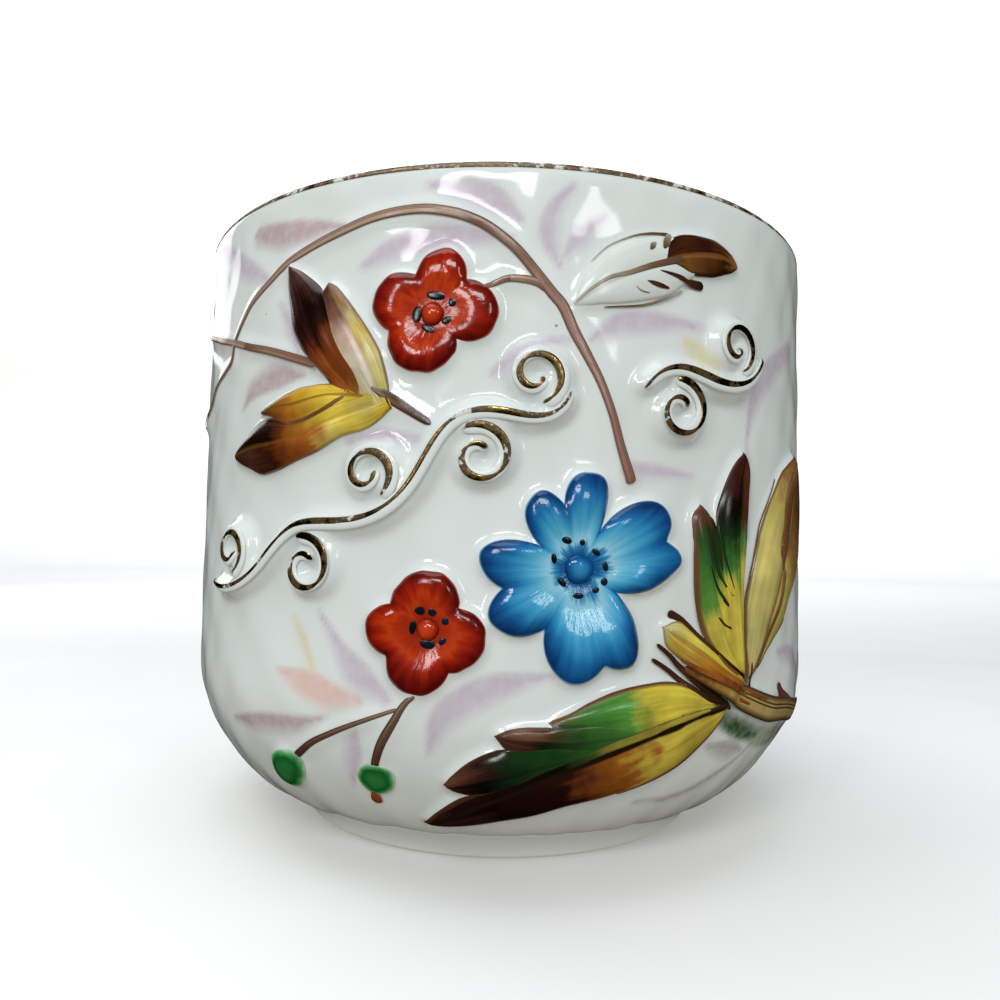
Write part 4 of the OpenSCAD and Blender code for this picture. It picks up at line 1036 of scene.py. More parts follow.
up = 1 - np.cos(np.linspace(0, np.pi / 2, 160))
belly_z = FOOT_H + (BELLY_Z - FOOT_H) * up
belly = np.stack([sharp_radius(belly_z), belly_z], -1)
outer = spaced(np.concatenate([belly, [[RIM_R, LIP_Z]]]), OUTER_STEP)
outer[:, 0] += wall_radius(outer[:, 1]) - sharp_radius(outer[:, 1])
arc = np.radians(np.linspace(10, 170, 17))
rim = np.stack([RIM_R - LIP_R + LIP_R * np.cos(arc), LIP_Z + LIP_R * np.sin(arc)], -1)
floor_r = FOOT_TOP_R - 2 * WALL
inside = np.stack([belly_curve(floor_r, BELLY_R - WALL, up), FLOOR_Z + (BELLY_Z + 2 - FLOOR_Z) * up], -1)
inner = spaced(np.concatenate([[[RIM_R - WALL, LIP_Z]], inside[::-1]]), INNER_STEP)
floor = np.stack([np.linspace(floor_r, HUB_R, 12)[1:], np.full(11, FLOOR_Z)], -1)
under = np.stack([np.linspace(HUB_R, FOOT_TOP_R, 12)[:-1], np.full(11, FOOT_H)], -1)
rows = np.concatenate([under, outer, rim, inner, floor])
front = np.radians(np.arange(-FRONT_DEG, FRONT_DEG + 0.01, FRONT_STEP))
back = np.radians(np.linspace(FRONT_DEG, 360 - FRONT_DEG, BACK_COLUMNS)[1:-1])
turns = np.concatenate([front, back])
print("body rows and columns:", len(rows), len(turns))

# %% [markdown]
# Thin washes were brushed over the glaze round the sprigs, most of them lilac, and a green stroke
# under the twig. Two pale yellow patches among them are no wash but a painted warm sheen, a reflection
# put into the glaze colour. A loaded brush leaves one crisp side and one that fades. Each wash is drawn
# as a line with widths, and how strongly it covers a point is kept in an attribute of the body, which
# the glaze reads. An image texture would need a UV map of the whole cup.

# %% Cup body: washes as (drawn line, widths along it, kind)
WASHES = [
    ([(-33.1, 75.2), (-28.1, 74.3), (-22.7, 73.8), (-18.9, 73.7)], (2.1, 2.7, 2.1, 0.6), "blush"),
    ([(-46.6, 77.8), (-42.6, 75.5), (-35.7, 71.8), (-30.2, 69.2)], (0.6, 1.8, 2.3, 0.8), "wash"),
    ([(-28.6, 66.5), (-26.7, 63.4), (-24.9, 60.2)], (0.4, 1.3, 0.4), "wash"),
    ([(-24.3, 58.1), (-28.5, 58.3), (-33.1, 57.5), (-36.4, 55.1)], (0.8, 2.5, 2.3, 0.3), "blush"),
    ([(-16, 69), (-12.3, 70.5), (-7.8, 71.2), (-2.8, 71.4), (0.7, 71.2)], (1.0, 2.3, 2.7, 1.7, 0.6), "wash"),
    ([(-8.5, 77.1), (-4.7, 76.5), (-1.5, 75.3), (1.2, 73.4)], (0.8, 2.4, 2.6, 1.0), "wash"),
    ([(-17.2, 49.8), (-13.3, 50.3), (-9.5, 49.9)], (0.8, 1.5, 1.0), "wash"),
    ([(5.9, 68.8), (4.8, 71.8), (5.3, 74.6), (7.4, 77.4)], (0.6, 1.9, 1.7, 0.6), "wash"),
    ([(6.5, 69.6), (8.1, 71.6), (10.9, 74.3)], (0.6, 1.8, 0.6), "wash"),
    ([(9.6, 61), (12.8, 62.7), (17.6, 63.5), (24.2, 63.8)], (0.6, 2.2, 2.0, 0.3), "wash"),
    ([(-0.8, 57), (1.9, 58.8), (4.7, 60.2), (6.9, 60.6)], (1.2, 1.9, 1.2, 0.5), "wash"),
    ([(31.8, 51.8), (34, 56.9), (38, 60.9), (45.2, 64.7)], (0.5, 1.9, 2.7, 2.3), "wash"),
    ([(32, 40), (32.4, 45), (31.8, 51.8)], (0.4, 1.2, 0.5), "wash"),
    ([(40, 26), (45.6, 25), (51, 22)], (1.0, 2.2, 0.8), "wash"),
    ([(14, 47), (17.4, 47.1), (22.4, 46.8)], (1.7, 1.5, 0.4), "wash"),
    ([(-20.9, 31.2), (-18.3, 27.6), (-15.7, 24.7), (-12.2, 22.1)], (0.4, 1.5, 2.7, 1.2), "wash"),
    ([(-26.7, 24.2), (-22.9, 23.1), (-19.3, 22.1), (-15.6, 21.8)], (0.6, 2.7, 2.7, 1.2), "rose"),
    ([(-37.1, 16.9), (-30.6, 17.5), (-24.1, 18.3), (-19.7, 19.6)], (0.8, 2.1, 1.7, 0.3), "blush"),
    ([(-16.3, 18.5), (-17, 15.6), (-18.1, 11.9)], (1.0, 2.1, 0.6), "wash"),
    ([(-7.4, 16.8), (-6, 20.2), (-3.7, 22.2), (0.1, 24), (5.9, 25.3)], (0.6, 2.3, 2.9, 2.5, 0.4), "wash"),
    ([(26.4, 16), (30, 15.2), (33.6, 14.6)], (1.0, 2.2, 0.6), "shade"),
    ([(18, 9.8), (24, 9.7), (30, 11.4), (36, 15)], (0.4, 0.9, 0.9, 0.4), "shade"),
    # two patches of painted warm sheen: a pale yellow reflection painted into the glaze colour
    ([(21.4, 61.6), (23.2, 60.6), (25.6, 59.6)], (1.4, 2.2, 1.0), "warm_sheen"),
    ([(-24.6, 30.6), (-23.2, 28), (-21.8, 25)], (0.4, 1.2, 0.8), "warm_sheen"),
    ([(50, 15), (41, 15.6), (35.6, 16.8), (30, 18.6)], (2.0, 2.8, 2.6, 1.6), "sage"),
    ([(36.4, 16.4), (32.4, 17.6), (28.8, 19.3), (25.4, 21)], (0.8, 2.2, 2.4, 1.0), "moss"),
]
# how a drawn width becomes a half width (mm), and how far each side of the stroke fades
WASH_SHARE, WASH_MORE, CRISP, FADING = 0.62, 0.4, 0.7, 1.7


def washed(x, z):
    """How strongly each wash covers the drawn points."""
    cover = {kind: np.zeros(len(x)) for kind in WASH_COLOURS}
    for points, widths, kind in WASHES:
        u = np.linspace(0, 1, 80)
        line = smooth_line(points, u)
        left = headings(line)[1]
        half = smooth_line(widths, u)[:, 0] * WASH_SHARE + WASH_MORE
        # only points in a box round the line, 3 mm wider than it, are measured
        reach_x, reach_z = np.ptp(line, axis=0) / 2 + 3
        middle_x, middle_z = line.mean(0)
        box = (np.abs(x - middle_x) < reach_x) & (np.abs(z - middle_z) < reach_z)
        dx, dz = x[box, None] - line[None, :, 0], z[box, None] - line[None, :, 1]
        k = np.argmin(dx * dx + dz * dz, axis=1)
        i = np.arange(len(k))
        side = dx[i, k] * left[k, 0] + dz[i, k] * left[k, 1]
        within = half[k] - np.hypot(dx[i, k], dz[i, k])
        paint = np.clip(within / np.where(side > 0, CRISP, FADING), 0, 1)
        cover[kind][box] = np.maximum(cover[kind][box], paint)
    return cover


print("washes:", len(WASHES))

# %% Cup body: points, faces and attributes
# the relief ends towards the back, over so many degrees, and just under the rim
RELIEF_END, RELIEF_FADE, RELIEF_TOP, TOP_FADE = np.radians(86), np.radians(8), 79, 1.5
SAG, SAG_LOW, SAG_HIGH, SAG_FADE = 0.05, 5, 78, 6


def wall_lift(flat, z):
    """How far the outside stands off the turned wall, and the share of the drawing that shows there."""
    fade = (np.clip((RELIEF_END - np.abs(flat)) / RELIEF_FADE, 0, 1)
            * np.clip((RELIEF_TOP - z) / TOP_FADE, 0, 1))
    sag = SAG * (np.sin(3 * flat + 0.13 * z) + np.sin(5 * flat - 0.21 * z + 1) - 2)
    lift = (lift_at(flat * BELLY_R, z) * fade + sag * np.clip((z - SAG_LOW) / SAG_FADE, 0, 1)
            * np.clip((SAG_HIGH - z) / SAG_FADE, 0, 1))
    return lift, fade


def cup_body():
    n = len(turns)
    r, z = np.repeat(rows[:, :1], n, 1), np.repeat(rows[:, 1:], n, 1)
    turn = np.repeat(turns[None], len(rows), 0)
    points = np.stack([r * np.sin(turn), -r * np.cos(turn), z], -1)
    out = slice(len(under), len(under) + len(outer))
    flat, out_z = ((turn + np.pi) % (2 * np.pi) - np.pi)[out], z[out]
    lift, fade = wall_lift(flat, out_z)
    points[out] += wall_normal(flat * BELLY_R, out_z) * lift[..., None]
    count = len(rows) * n
    hubs = [[0, 0, FOOT_H], [0, 0, FLOOR_Z]]
    i, j = np.meshgrid(np.arange(len(rows) - 1), np.arange(n), indexing="ij")
    a, b = (i * n + j).ravel(), (i * n + (j + 1) % n).ravel()
    faces = np.stack([a, b, b + n, a + n], -1).tolist()
    last = count - n
    faces += [(k, count, (k + 1) % n) for k in range(n)]
    faces += [(last + k, last + (k + 1) % n, count + 1) for k in range(n)]
    piece = mesh_piece("washed_cup_body", np.concatenate([points.reshape(-1, 3), hubs]) * MM, faces,
                       WASHED_PORCELAIN)
    for kind, values in washed((flat * BELLY_R).ravel(), out_z.ravel()).items():
        spread = np.zeros(count + len(hubs))
        spread[out.start * n:out.stop * n] = values * fade.ravel()
        store(piece.data, **{kind: spread})
    piece.data.update()
    return piece


body = settle(cup_body(), "porcelain_glaze", "cup_body")
probe = body.data.polygons[len(body.data.polygons) // 2]
print("outward normal test:", round(float(np.dot(probe.normal, probe.center)), 3))

# %% [markdown]
# The foot ring was turned on the wheel: a short taper, an eased edge and a flat standing face.
# Spinning a small outline in numpy gives clean quads and rounded corners.

# %% Foot ring
def ring_faces(rings, sides, closed):
    """Quads between neighbouring rings of points; closed joins the last ring to the first."""
    return [(i * sides + j, i * sides + (j + 1) % sides, (i + 1) % rings * sides + (j + 1) % sides,
             (i + 1) % rings * sides + j) for i in range(rings if closed else rings - 1) for j in range(sides)]


def lathe(name, outline, finish, steps=160):
    p = np.asarray(outline, float)
    a = np.linspace(0, 2 * np.pi, steps, endpoint=False)
    r, z = p[:, :1], np.repeat(p[:, 1:], steps, 1)
    points = np.stack([r * np.sin(a), -r * np.cos(a), z], -1)
    return mesh_piece(name, points.reshape(-1, 3) * MM, ring_faces(len(p), steps, True), finish)


EASE_IN, EASE_OUT = 0.4, 0.7
ease = np.radians(np.linspace(0, 90, 7))
foot_outline = ([(23.6, 3.7), (25.0, EASE_IN)]
                + [(25.4 - EASE_IN * math.cos(t), EASE_IN - EASE_IN * math.sin(t)) for t in ease[1:]]
                + [(28.7 + EASE_OUT * math.sin(t), EASE_OUT - EASE_OUT * math.cos(t)) for t in ease]
                + [(30.2, 2.2), (31.0, 3.2), (31.4, 3.9), (27.0, 4.2)])
settle(lathe("turned_foot_ring", foot_outline, PLAIN_PORCELAIN), "porcelain_glaze", "foot_ring")

# %% [markdown]
# The guard is a ledge across the drinker's side: a bowed free edge towards the middle, a half-moon
# slot against the wall, and rounded lips where the glaze ran over its edges. It is lofted in strips
# from one end to the other, each strip a section with rounded ends. A boolean cut would leave sharp
# edges that no glaze has.

# %% Moustache guard
GUARD_TOP, GUARD_T, BOW_R, BOW_X, SLOT_X, SLOT_R = 74.0, 3.0, 80.0, 13.0, 32.07, 40.0
STRIPS, SECTION, GUARD_LIP = 81, 48, 1.45


def moustache_guard():
    reach = float(wall_radius(GUARD_TOP)) - WALL
    # the guard's end is where its bowed edge meets the inner wall
    ends = np.linspace(20, reach, 4000)
    end = ends[BOW_X - BOW_R + np.sqrt(BOW_R * BOW_R - ends * ends) < np.sqrt(reach * reach - ends * ends)].max()
    y = end * np.sin(np.linspace(-np.pi / 2, np.pi / 2, STRIPS))
    near = BOW_X - BOW_R + np.sqrt(BOW_R * BOW_R - y * y)
    slot = SLOT_X + SLOT_R - np.sqrt(SLOT_R ** 2 - np.minimum(np.abs(y), SLOT_R - 0.01) ** 2)
    # where the slot's arc runs into the wall, the strip goes on half a millimetre into the wall
    far = np.minimum(slot, np.sqrt(np.maximum(reach ** 2 - y * y, 0)) + 0.5)
    far = np.maximum(far, near + 0.05)
    t = np.linspace(0, 2 * np.pi, SECTION, endpoint=False)
    half = (far - near)[:, None] / 2
    lip = np.minimum(GUARD_LIP, half)
    # a flat oval: straight faces with round lips
    cx, cz = np.cos(t), np.sin(t)
    x = (near + far)[:, None] / 2 + np.sign(cx) * (half - lip) * np.minimum(1, np.abs(cx) * 6) + lip * cx
    z = GUARD_TOP - GUARD_T / 2 + np.sign(cz) * np.abs(cz) ** 0.55 * (GUARD_T / 2 - 0.02)
    rings = np.stack([x, np.repeat(y[:, None], SECTION, 1), np.repeat(z[None], STRIPS, 0)], -1) * MM
    caps = [tuple(range(SECTION - 1, -1, -1)), tuple(range((STRIPS - 1) * SECTION, STRIPS * SECTION))]
    piece = mesh_piece("lofted_moustache_guard", rings.reshape(-1, 3), ring_faces(STRIPS, SECTION, False) + caps,
                       PLAIN_PORCELAIN)
    # a quarter of the way round the section is the upper face
    if piece.data.polygons[SECTION // 4].normal.z < 0:
        piece.data.flip_normals()
    return piece


settle(moustache_guard(), "porcelain_glaze", "moustache_guard")

# %% [markdown]
# The handle was pulled from a strap of clay: an oval that leaves the wall wide, thins round the ear
# and comes back wide. It is the swept-band tree again, with the half width as an attribute along the
# line, and its ends run on into the wall as a luted joint does.

# %% Handle
HANDLE_TOP, HANDLE_LOW, REACH, HANDLE_W, HANDLE_T = 61.0, 25.0, 27.0, 9.0, 6.0
COLLAR_MM, SUNK = 2.2, 1.0
top_r, low_r = float(wall_radius(HANDLE_TOP)), float(wall_radius(HANDLE_LOW))
tall = HANDLE_TOP - HANDLE_LOW
mid = HANDLE_LOW + tall / 2
# out from the axis and up, from the upper joint round the ear to the lower one
ear = [(top_r - 2, HANDLE_TOP - 0.06 * tall), (top_r + 0.22 * REACH, HANDLE_TOP + 0.07 * tall),
       (top_r + 0.56 * REACH, HANDLE_TOP + 0.11 * tall), (top_r + 0.81 * REACH, HANDLE_TOP),
       ((top_r + low_r) / 2 + REACH - HANDLE_T / 2, mid + 0.22 * tall),
       (low_r + 0.81 * REACH, mid - 0.19 * tall), (low_r + 0.52 * REACH, HANDLE_LOW - 0.01 * tall),
       (low_r + 0.22 * REACH, HANDLE_LOW - 0.08 * tall), (low_r - 2, HANDLE_LOW - 0.08 * tall)]
u = np.linspace(0, 1, 120)
ear_line = smooth_line(ear, u)
ear_left = headings(ear_line)[1]
# wide at the wall, with a collar of slip in the last two millimetres
collar = np.clip(1 - (ear_line[:, 0] - wall_radius(ear_line[:, 1])) / COLLAR_MM, 0, 1) ** 2
ear_half = HANDLE_W / 2 * (0.995 + 0.33 * np.abs(2 * u - 1) ** 6 + 0.1 * collar)
# the ear stands in the plane behind the cup, where x is 0
ear_path, ear_out = (np.insert(flat, 0, 0.0, axis=1) for flat in (ear_line, ear_left))
handle = shape_from_nodes(
    "pulled_handle", line_mesh("handle", [(ear_path * MM, ear_half * MM, ear_out)]), SWEPT_BAND,
    {"Flatness": HANDLE_T / HANDLE_W, "Sides": 40, "Finish": PLAIN_PORCELAIN})
# both ends stop in the wall, a millimetre deep
spots = np.array([v.co for v in handle.data.vertices])
deep = (wall_radius(spots[:, 2] / MM) - SUNK) * MM
spots[:, :2] *= np.maximum(1, deep / np.hypot(spots[:, 0], spots[:, 1]))[:, None]
handle.data.vertices.foreach_set("co", spots.astype(np.float32).ravel())
handle.data.update()
settle(handle, "porcelain_glaze", "handle")

# %% [markdown]
# The gold on the rim is a film over the crown and the outer shoulder. A circle carries a short arc
# round the cup, and the strip is thickened by extruding a copy of its faces along their normals. Done
# in nodes, the width of the line stays one named number.

# %% Rim gilding
def rim_film_tree():
    sizes = ("Rim Radius", "Rim Height", "Lip Radius", "From", "Sweep", "Thickness")
    tree, given = new_tree("rim_film", {"Line": "Geometry", **{size: "Float" for size in sizes},
                                        "Finish": "Material"}, "Film")
    circle = put(tree, "GeometryNodeCurvePrimitiveCircle", {"Resolution": 360, "Radius": given["Rim Radius"]})
    faced = put(tree, "GeometryNodeSetCurveNormal", {"Curve": circle}, mode="Z_UP")
    arc = put(tree, "GeometryNodeCurveArc", {"Resolution": 12, "Radius": given["Lip Radius"],
                                             "Start Angle": given["From"], "Sweep Angle": given["Sweep"]})
    strip = put(tree, "GeometryNodeCurveToMesh", {"Curve": faced, "Profile Curve": arc})
    outer_skin = put(tree, "GeometryNodeExtrudeMesh", {"Mesh": strip, "Offset Scale": given["Thickness"],
                                                       "Individual": False})
    inner_skin = put(tree, "GeometryNodeFlipFaces", {"Mesh": strip})
    both = put(tree, "GeometryNodeJoinGeometry", {"Geometry": outer_skin})
    feed(tree, both, {"Geometry": inner_skin})
    sealed = put(tree, "GeometryNodeMergeByDistance", {"Geometry": both, "Distance": 1e-6})
    height = put(tree, "ShaderNodeCombineXYZ", {"Z": given["Rim Height"]})
    placed = put(tree, "GeometryNodeTransform", {"Geometry": sealed, "Translation": height})
    return end_tree(tree, placed, given["Finish"])


rim_film = shape_from_nodes("rim_gold_film", bpy.data.meshes.new("blank"), rim_film_tree(), {
    "Rim Radius": (RIM_R - LIP_R) * MM, "Rim Height": LIP_Z * MM, "Lip Radius": (LIP_R + 0.01) * MM,
    "From": math.radians(-115), "Sweep": math.radians(95), "Thickness": 0.08 * MM, "Finish": RIM_GOLD})
settle(rim_film, "worn_gilding", "rim_gilding")
ring = np.array([v.co for v in rim_film.data.vertices]) * 1000
print("rim film from", np.round(ring.min(0), 2), "to", np.round(ring.max(0), 2))

# %% [markdown]
# Stems and twigs are bands laid on the relief, a little sunk so that only their backs stand out.

# %% Stems and twigs
STEM_FLAT, STEM_UP = 0.14, 0.02
for node, finish, slot in (("arch_stem", BARK, "brown_enamel"), ("leaf_twig", TWIG, "brown_enamel"),
                           ("bud_stem_left", TWIG, "brown_enamel"), ("bud_stem_right", TWIG, "brown_enamel"),
                           ("spray_twig", SPRAY, "leaf_enamel")):
    settle(wall_band("painted_" + node, STEMS[node], finish, STEM_FLAT, STEM_UP), slot, node)

# %% [markdown]
# Each leaf is its blade laid on the relief. Lobes that overlap get their own thickness of paint, so
# that the one on top wins, and so do leaves that overlap.

# %% Leaves
LAYER, EDGE_MM = 0.03, 0.3
ON_TOP = ("leaf_left_upper", "leaf_left_middle", "leaf_right_upright")


def painted_blade(name, b, finish, coat):
    # paint thins out at the edge
    thick = coat * np.clip(b["edge_mm"] / EDGE_MM, 0.35, 1)
    return paint_coat(name, b["spot"], thick, finish, uv=np.stack([b["u"], 0.5 + 0.5 * b["v"]], -1),
                      numbers={"rib_mm": b["rib_mm"], "edge_mm": b["edge_mm"]})


def joined(name, pieces):
    """Several slabs made one object, under one name."""
    bpy.ops.object.select_all(action="DESELECT")
    for piece in pieces:
        piece.select_set(True)
    bpy.context.view_layer.objects.active = pieces[0]
    if len(pieces) > 1:
        bpy.ops.object.join()
    pieces[0].name = pieces[0].data.name = name
    return pieces[0]


for node, parts in blades.items():
    base = LAYER if node in ON_TOP else 0.0
    finishes = LOBE_FINISHES.get(node) or [LEAF_FINISHES[node]]
    lobes = [painted_blade(f"{node}_{k}", b, finishes[k], PAINT + LAYER * k + base) for k, b in enumerate(parts)]
    settle(joined("painted_" + node, lobes), "leaf_enamel", node)

# %% [markdown]
# Petals in one ring round an open eye, then a small dome for the eye itself.

# %% Petals and eyes
# petals' enamel, slot, width of the eye, its enamel, width of a stamen dab (mm)
FLOWER_PAINT = {"upper_red": (RED_ENAMEL, "red_enamel", 2.3, RED_EYE, 1.0),
                "lower_red": (RED_ENAMEL, "red_enamel", 2.3, RED_EYE, 1.0),
                "blue": (BLUE_ENAMEL, "blue_enamel", 3.1, BLUE_EYE, 0.72)}
EYE_RISE, TALL, DAB_LIFT, DAB_ROOT = 0.75, 0.6, 0.08, 0.3


def dome(name, centre, long, wide, turn, height, finish, rays=48, rings=14):
    """A raised dot on the wall: an oval in the drawing, domed along the wall's normal."""
    a = np.linspace(0, 2 * np.pi, rays, endpoint=False)
    q = np.sin(np.linspace(0, np.pi / 2, rings))
    uneven = 1 + 0.03 * np.sin(3 * a + 1) + 0.02 * np.sin(5 * a)
    along, aside = (size / 2 * q[None] * (uneven * swing)[:, None]
                    for size, swing in ((long, np.cos(a)), (wide, np.sin(a))))
    spot = oval_spots(centre, turn, along, aside)
    x, z = spot[..., 0], spot[..., 1]
    # a tall dome stands on one level, and a flat dab follows the relief
    base = float(lift_at(np.array([centre[0]]), np.array([centre[1]]))[0]) if height > TALL else lift_at(x, z)
    lift = base + height * np.sqrt(np.maximum(0, 1 - q * q))[None] + DAB_LIFT
    low = np.minimum(lift_at(x, z), base) - DAB_ROOT
    uv = np.stack([np.repeat(q[None] * 0.25, rays, 0), np.repeat(a[:, None] / (2 * np.pi), rings, 1)], -1)
    numbers = {"along": np.repeat(q[None] ** 2, rays, 0), "across": np.zeros((rays, rings))}
    piece = slab(name, on_wall(x, z, lift), on_wall(x, z, low), finish, uv, numbers, wrap=True)
    # the first ring is a single point: weld it
    clay = bmesh.new()
    clay.from_mesh(piece.data)
    bmesh.ops.remove_doubles(clay, verts=clay.verts, dist=1e-7)
    clay.to_mesh(piece.data)
    clay.free()
    return piece


for name, f in flowers.items():
    finish, slot, eye_w, eye_finish, _ = FLOWER_PAINT[name]
    edge, way = f["reach"] - f["r"], np.radians(f["angle"])
    petals = paint_coat(f"painted_{name}_petals", f["spot"], PAINT * np.clip(edge / EDGE_MM, 0.4, 1), finish,
                        uv=np.stack([f["q"], f["angle"] / 360], -1), wrap=True,
                        numbers={"edge_mm": edge, "ray_x": np.cos(way), "ray_z": np.sin(way)})
    settle(petals, slot, f"{name}_petals")
    eye = dome(f"painted_{name}_centre", FLOWERS[name][0], eye_w, eye_w, 0, EYE_RISE, eye_finish)
    settle(eye, slot, f"{name}_centre")

# %% [markdown]
# The buds are moulded with the wall, and a dab of green lies on each.

# %% Buds
for node, (centre, long, wide, turn, _) in BUDS.items():
    settle(dome("painted_" + node, centre, long, wide, turn, PAINT, BUD_GREEN), "green_enamel", node)

# %% [markdown]
# Stamens are dabs of blue-black enamel round each eye. One small ball is set on every point, turned
# along the dab and flattened against the petal, with a seeded random size. Geometry Nodes set them
# all at once, and the size of a dab stays a named input.

# %% Stamen dabs
def dab_tree():
    tree, given = new_tree("stamen_dabs", {"Points": "Geometry", "Dab Width": "Float", "Dab Height": "Float",
                                           "Seed": "Int", "Finish": "Material"}, "Dabs")
    ball = put(tree, "GeometryNodeMeshUVSphere", {"Segments": 12, "Rings": 7, "Radius": 0.5})
    along = put(tree, "GeometryNodeInputNamedAttribute", {"Name": "tangent"}, data_type="FLOAT_VECTOR")
    out = put(tree, "GeometryNodeInputNamedAttribute", {"Name": "outward"}, data_type="FLOAT_VECTOR")
    long = put(tree, "GeometryNodeInputNamedAttribute", {"Name": "half_width"}, data_type="FLOAT")
    chance = put(tree, "FunctionNodeRandomValue", {2: 0.85, 3: 1.15, "Seed": given["Seed"]}, data_type="FLOAT")
    wide = put(tree, "ShaderNodeMath", {0: given["Dab Width"], 1: chance}, operation="MULTIPLY")
    size = put(tree, "ShaderNodeCombineXYZ", {"X": long, "Y": wide, "Z": given["Dab Height"]})
    turn = put(tree, "FunctionNodeAxesToRotation", {0: out, 1: along}, primary_axis="Z", secondary_axis="X")
    cloud = put(tree, "GeometryNodeMeshToPoints", {"Mesh": given["Points"]})
    many = put(tree, "GeometryNodeInstanceOnPoints", {"Points": cloud, "Instance": ball,
                                                      "Rotation": turn, "Scale": size})
    return end_tree(tree, many, given["Finish"])


# drawn place, direction in degrees, length of each dab
STAMENS = {
    "upper_red": [((-7.3, 65.1), -8, 2.2), ((-5.5, 64.3), 20, 1.0), ((-6.1, 62.4), 20, 1.2),
                  ((-8, 61.5), -30, 1.9), ((-9.4, 63.1), 80, 2.1)],
    "lower_red": [((-8.4, 32.1), -30, 1.4), ((-7, 31.9), 30, 1.0), ((-5.5, 31), 10, 1.1),
                  ((-5.8, 28.8), 20, 1.0), ((-7.5, 28.4), -6, 1.9), ((-9.1, 30.2), 80, 1.7)],
    "blue": [((6.7, 39.6), -20, 1.2), ((8.4, 39.4), 10, 0.6), ((9.9, 38.4), -35, 1.1),
             ((10.9, 36.9), -75, 1.1), ((10.8, 35.3), 80, 0.9), ((9.9, 34.4), 20, 0.8),
             ((8, 33.8), 0, 1.2), ((6.2, 35.2), -40, 1.4), ((5.4, 37.7), -80, 1.2)],
}
DAB_HEIGHT, DAB_SEED, AHEAD = 0.17, 7, 0.1
DABS = dab_tree()


def on_paint(spot):
    """Points in metres on the painted relief."""
    return on_wall(spot[:, 0], spot[:, 1], lift_at(spot[:, 0], spot[:, 1]) + PAINT)


for name, dabs in STAMENS.items():
    _, slot, _, _, dab_width = FLOWER_PAINT[name]
    at, way, length = (np.array(column, float) for column in zip(*dabs))
    way = np.radians(way)
    places = on_paint(at)
    further = on_paint(at + np.stack([np.cos(way), np.sin(way)], -1) * AHEAD)
    mesh = bpy.data.meshes.new(name + "_stamens")
    mesh.from_pydata(places.tolist(), [], [])
    store(mesh, outward=wall_normal(at[:, 0], at[:, 1]), tangent=further - places, half_width=length * MM,
          along=np.linspace(0, 1, len(dabs)))
    sizes = {"Dab Width": dab_width * MM, "Dab Height": DAB_HEIGHT * MM, "Seed": DAB_SEED, "Finish": BLACK_DOT}
    settle(shape_from_nodes(name + "_stamens", mesh, DABS, sizes), slot)

# %% [markdown]
# Outlines, veins and the loose strokes beside the leaves are brush lines: flat bands a few tenths
# of a millimetre wide on top of the enamel. The last ones are streaks that run from the small leaf
# over the back of the twig, so they lie higher.

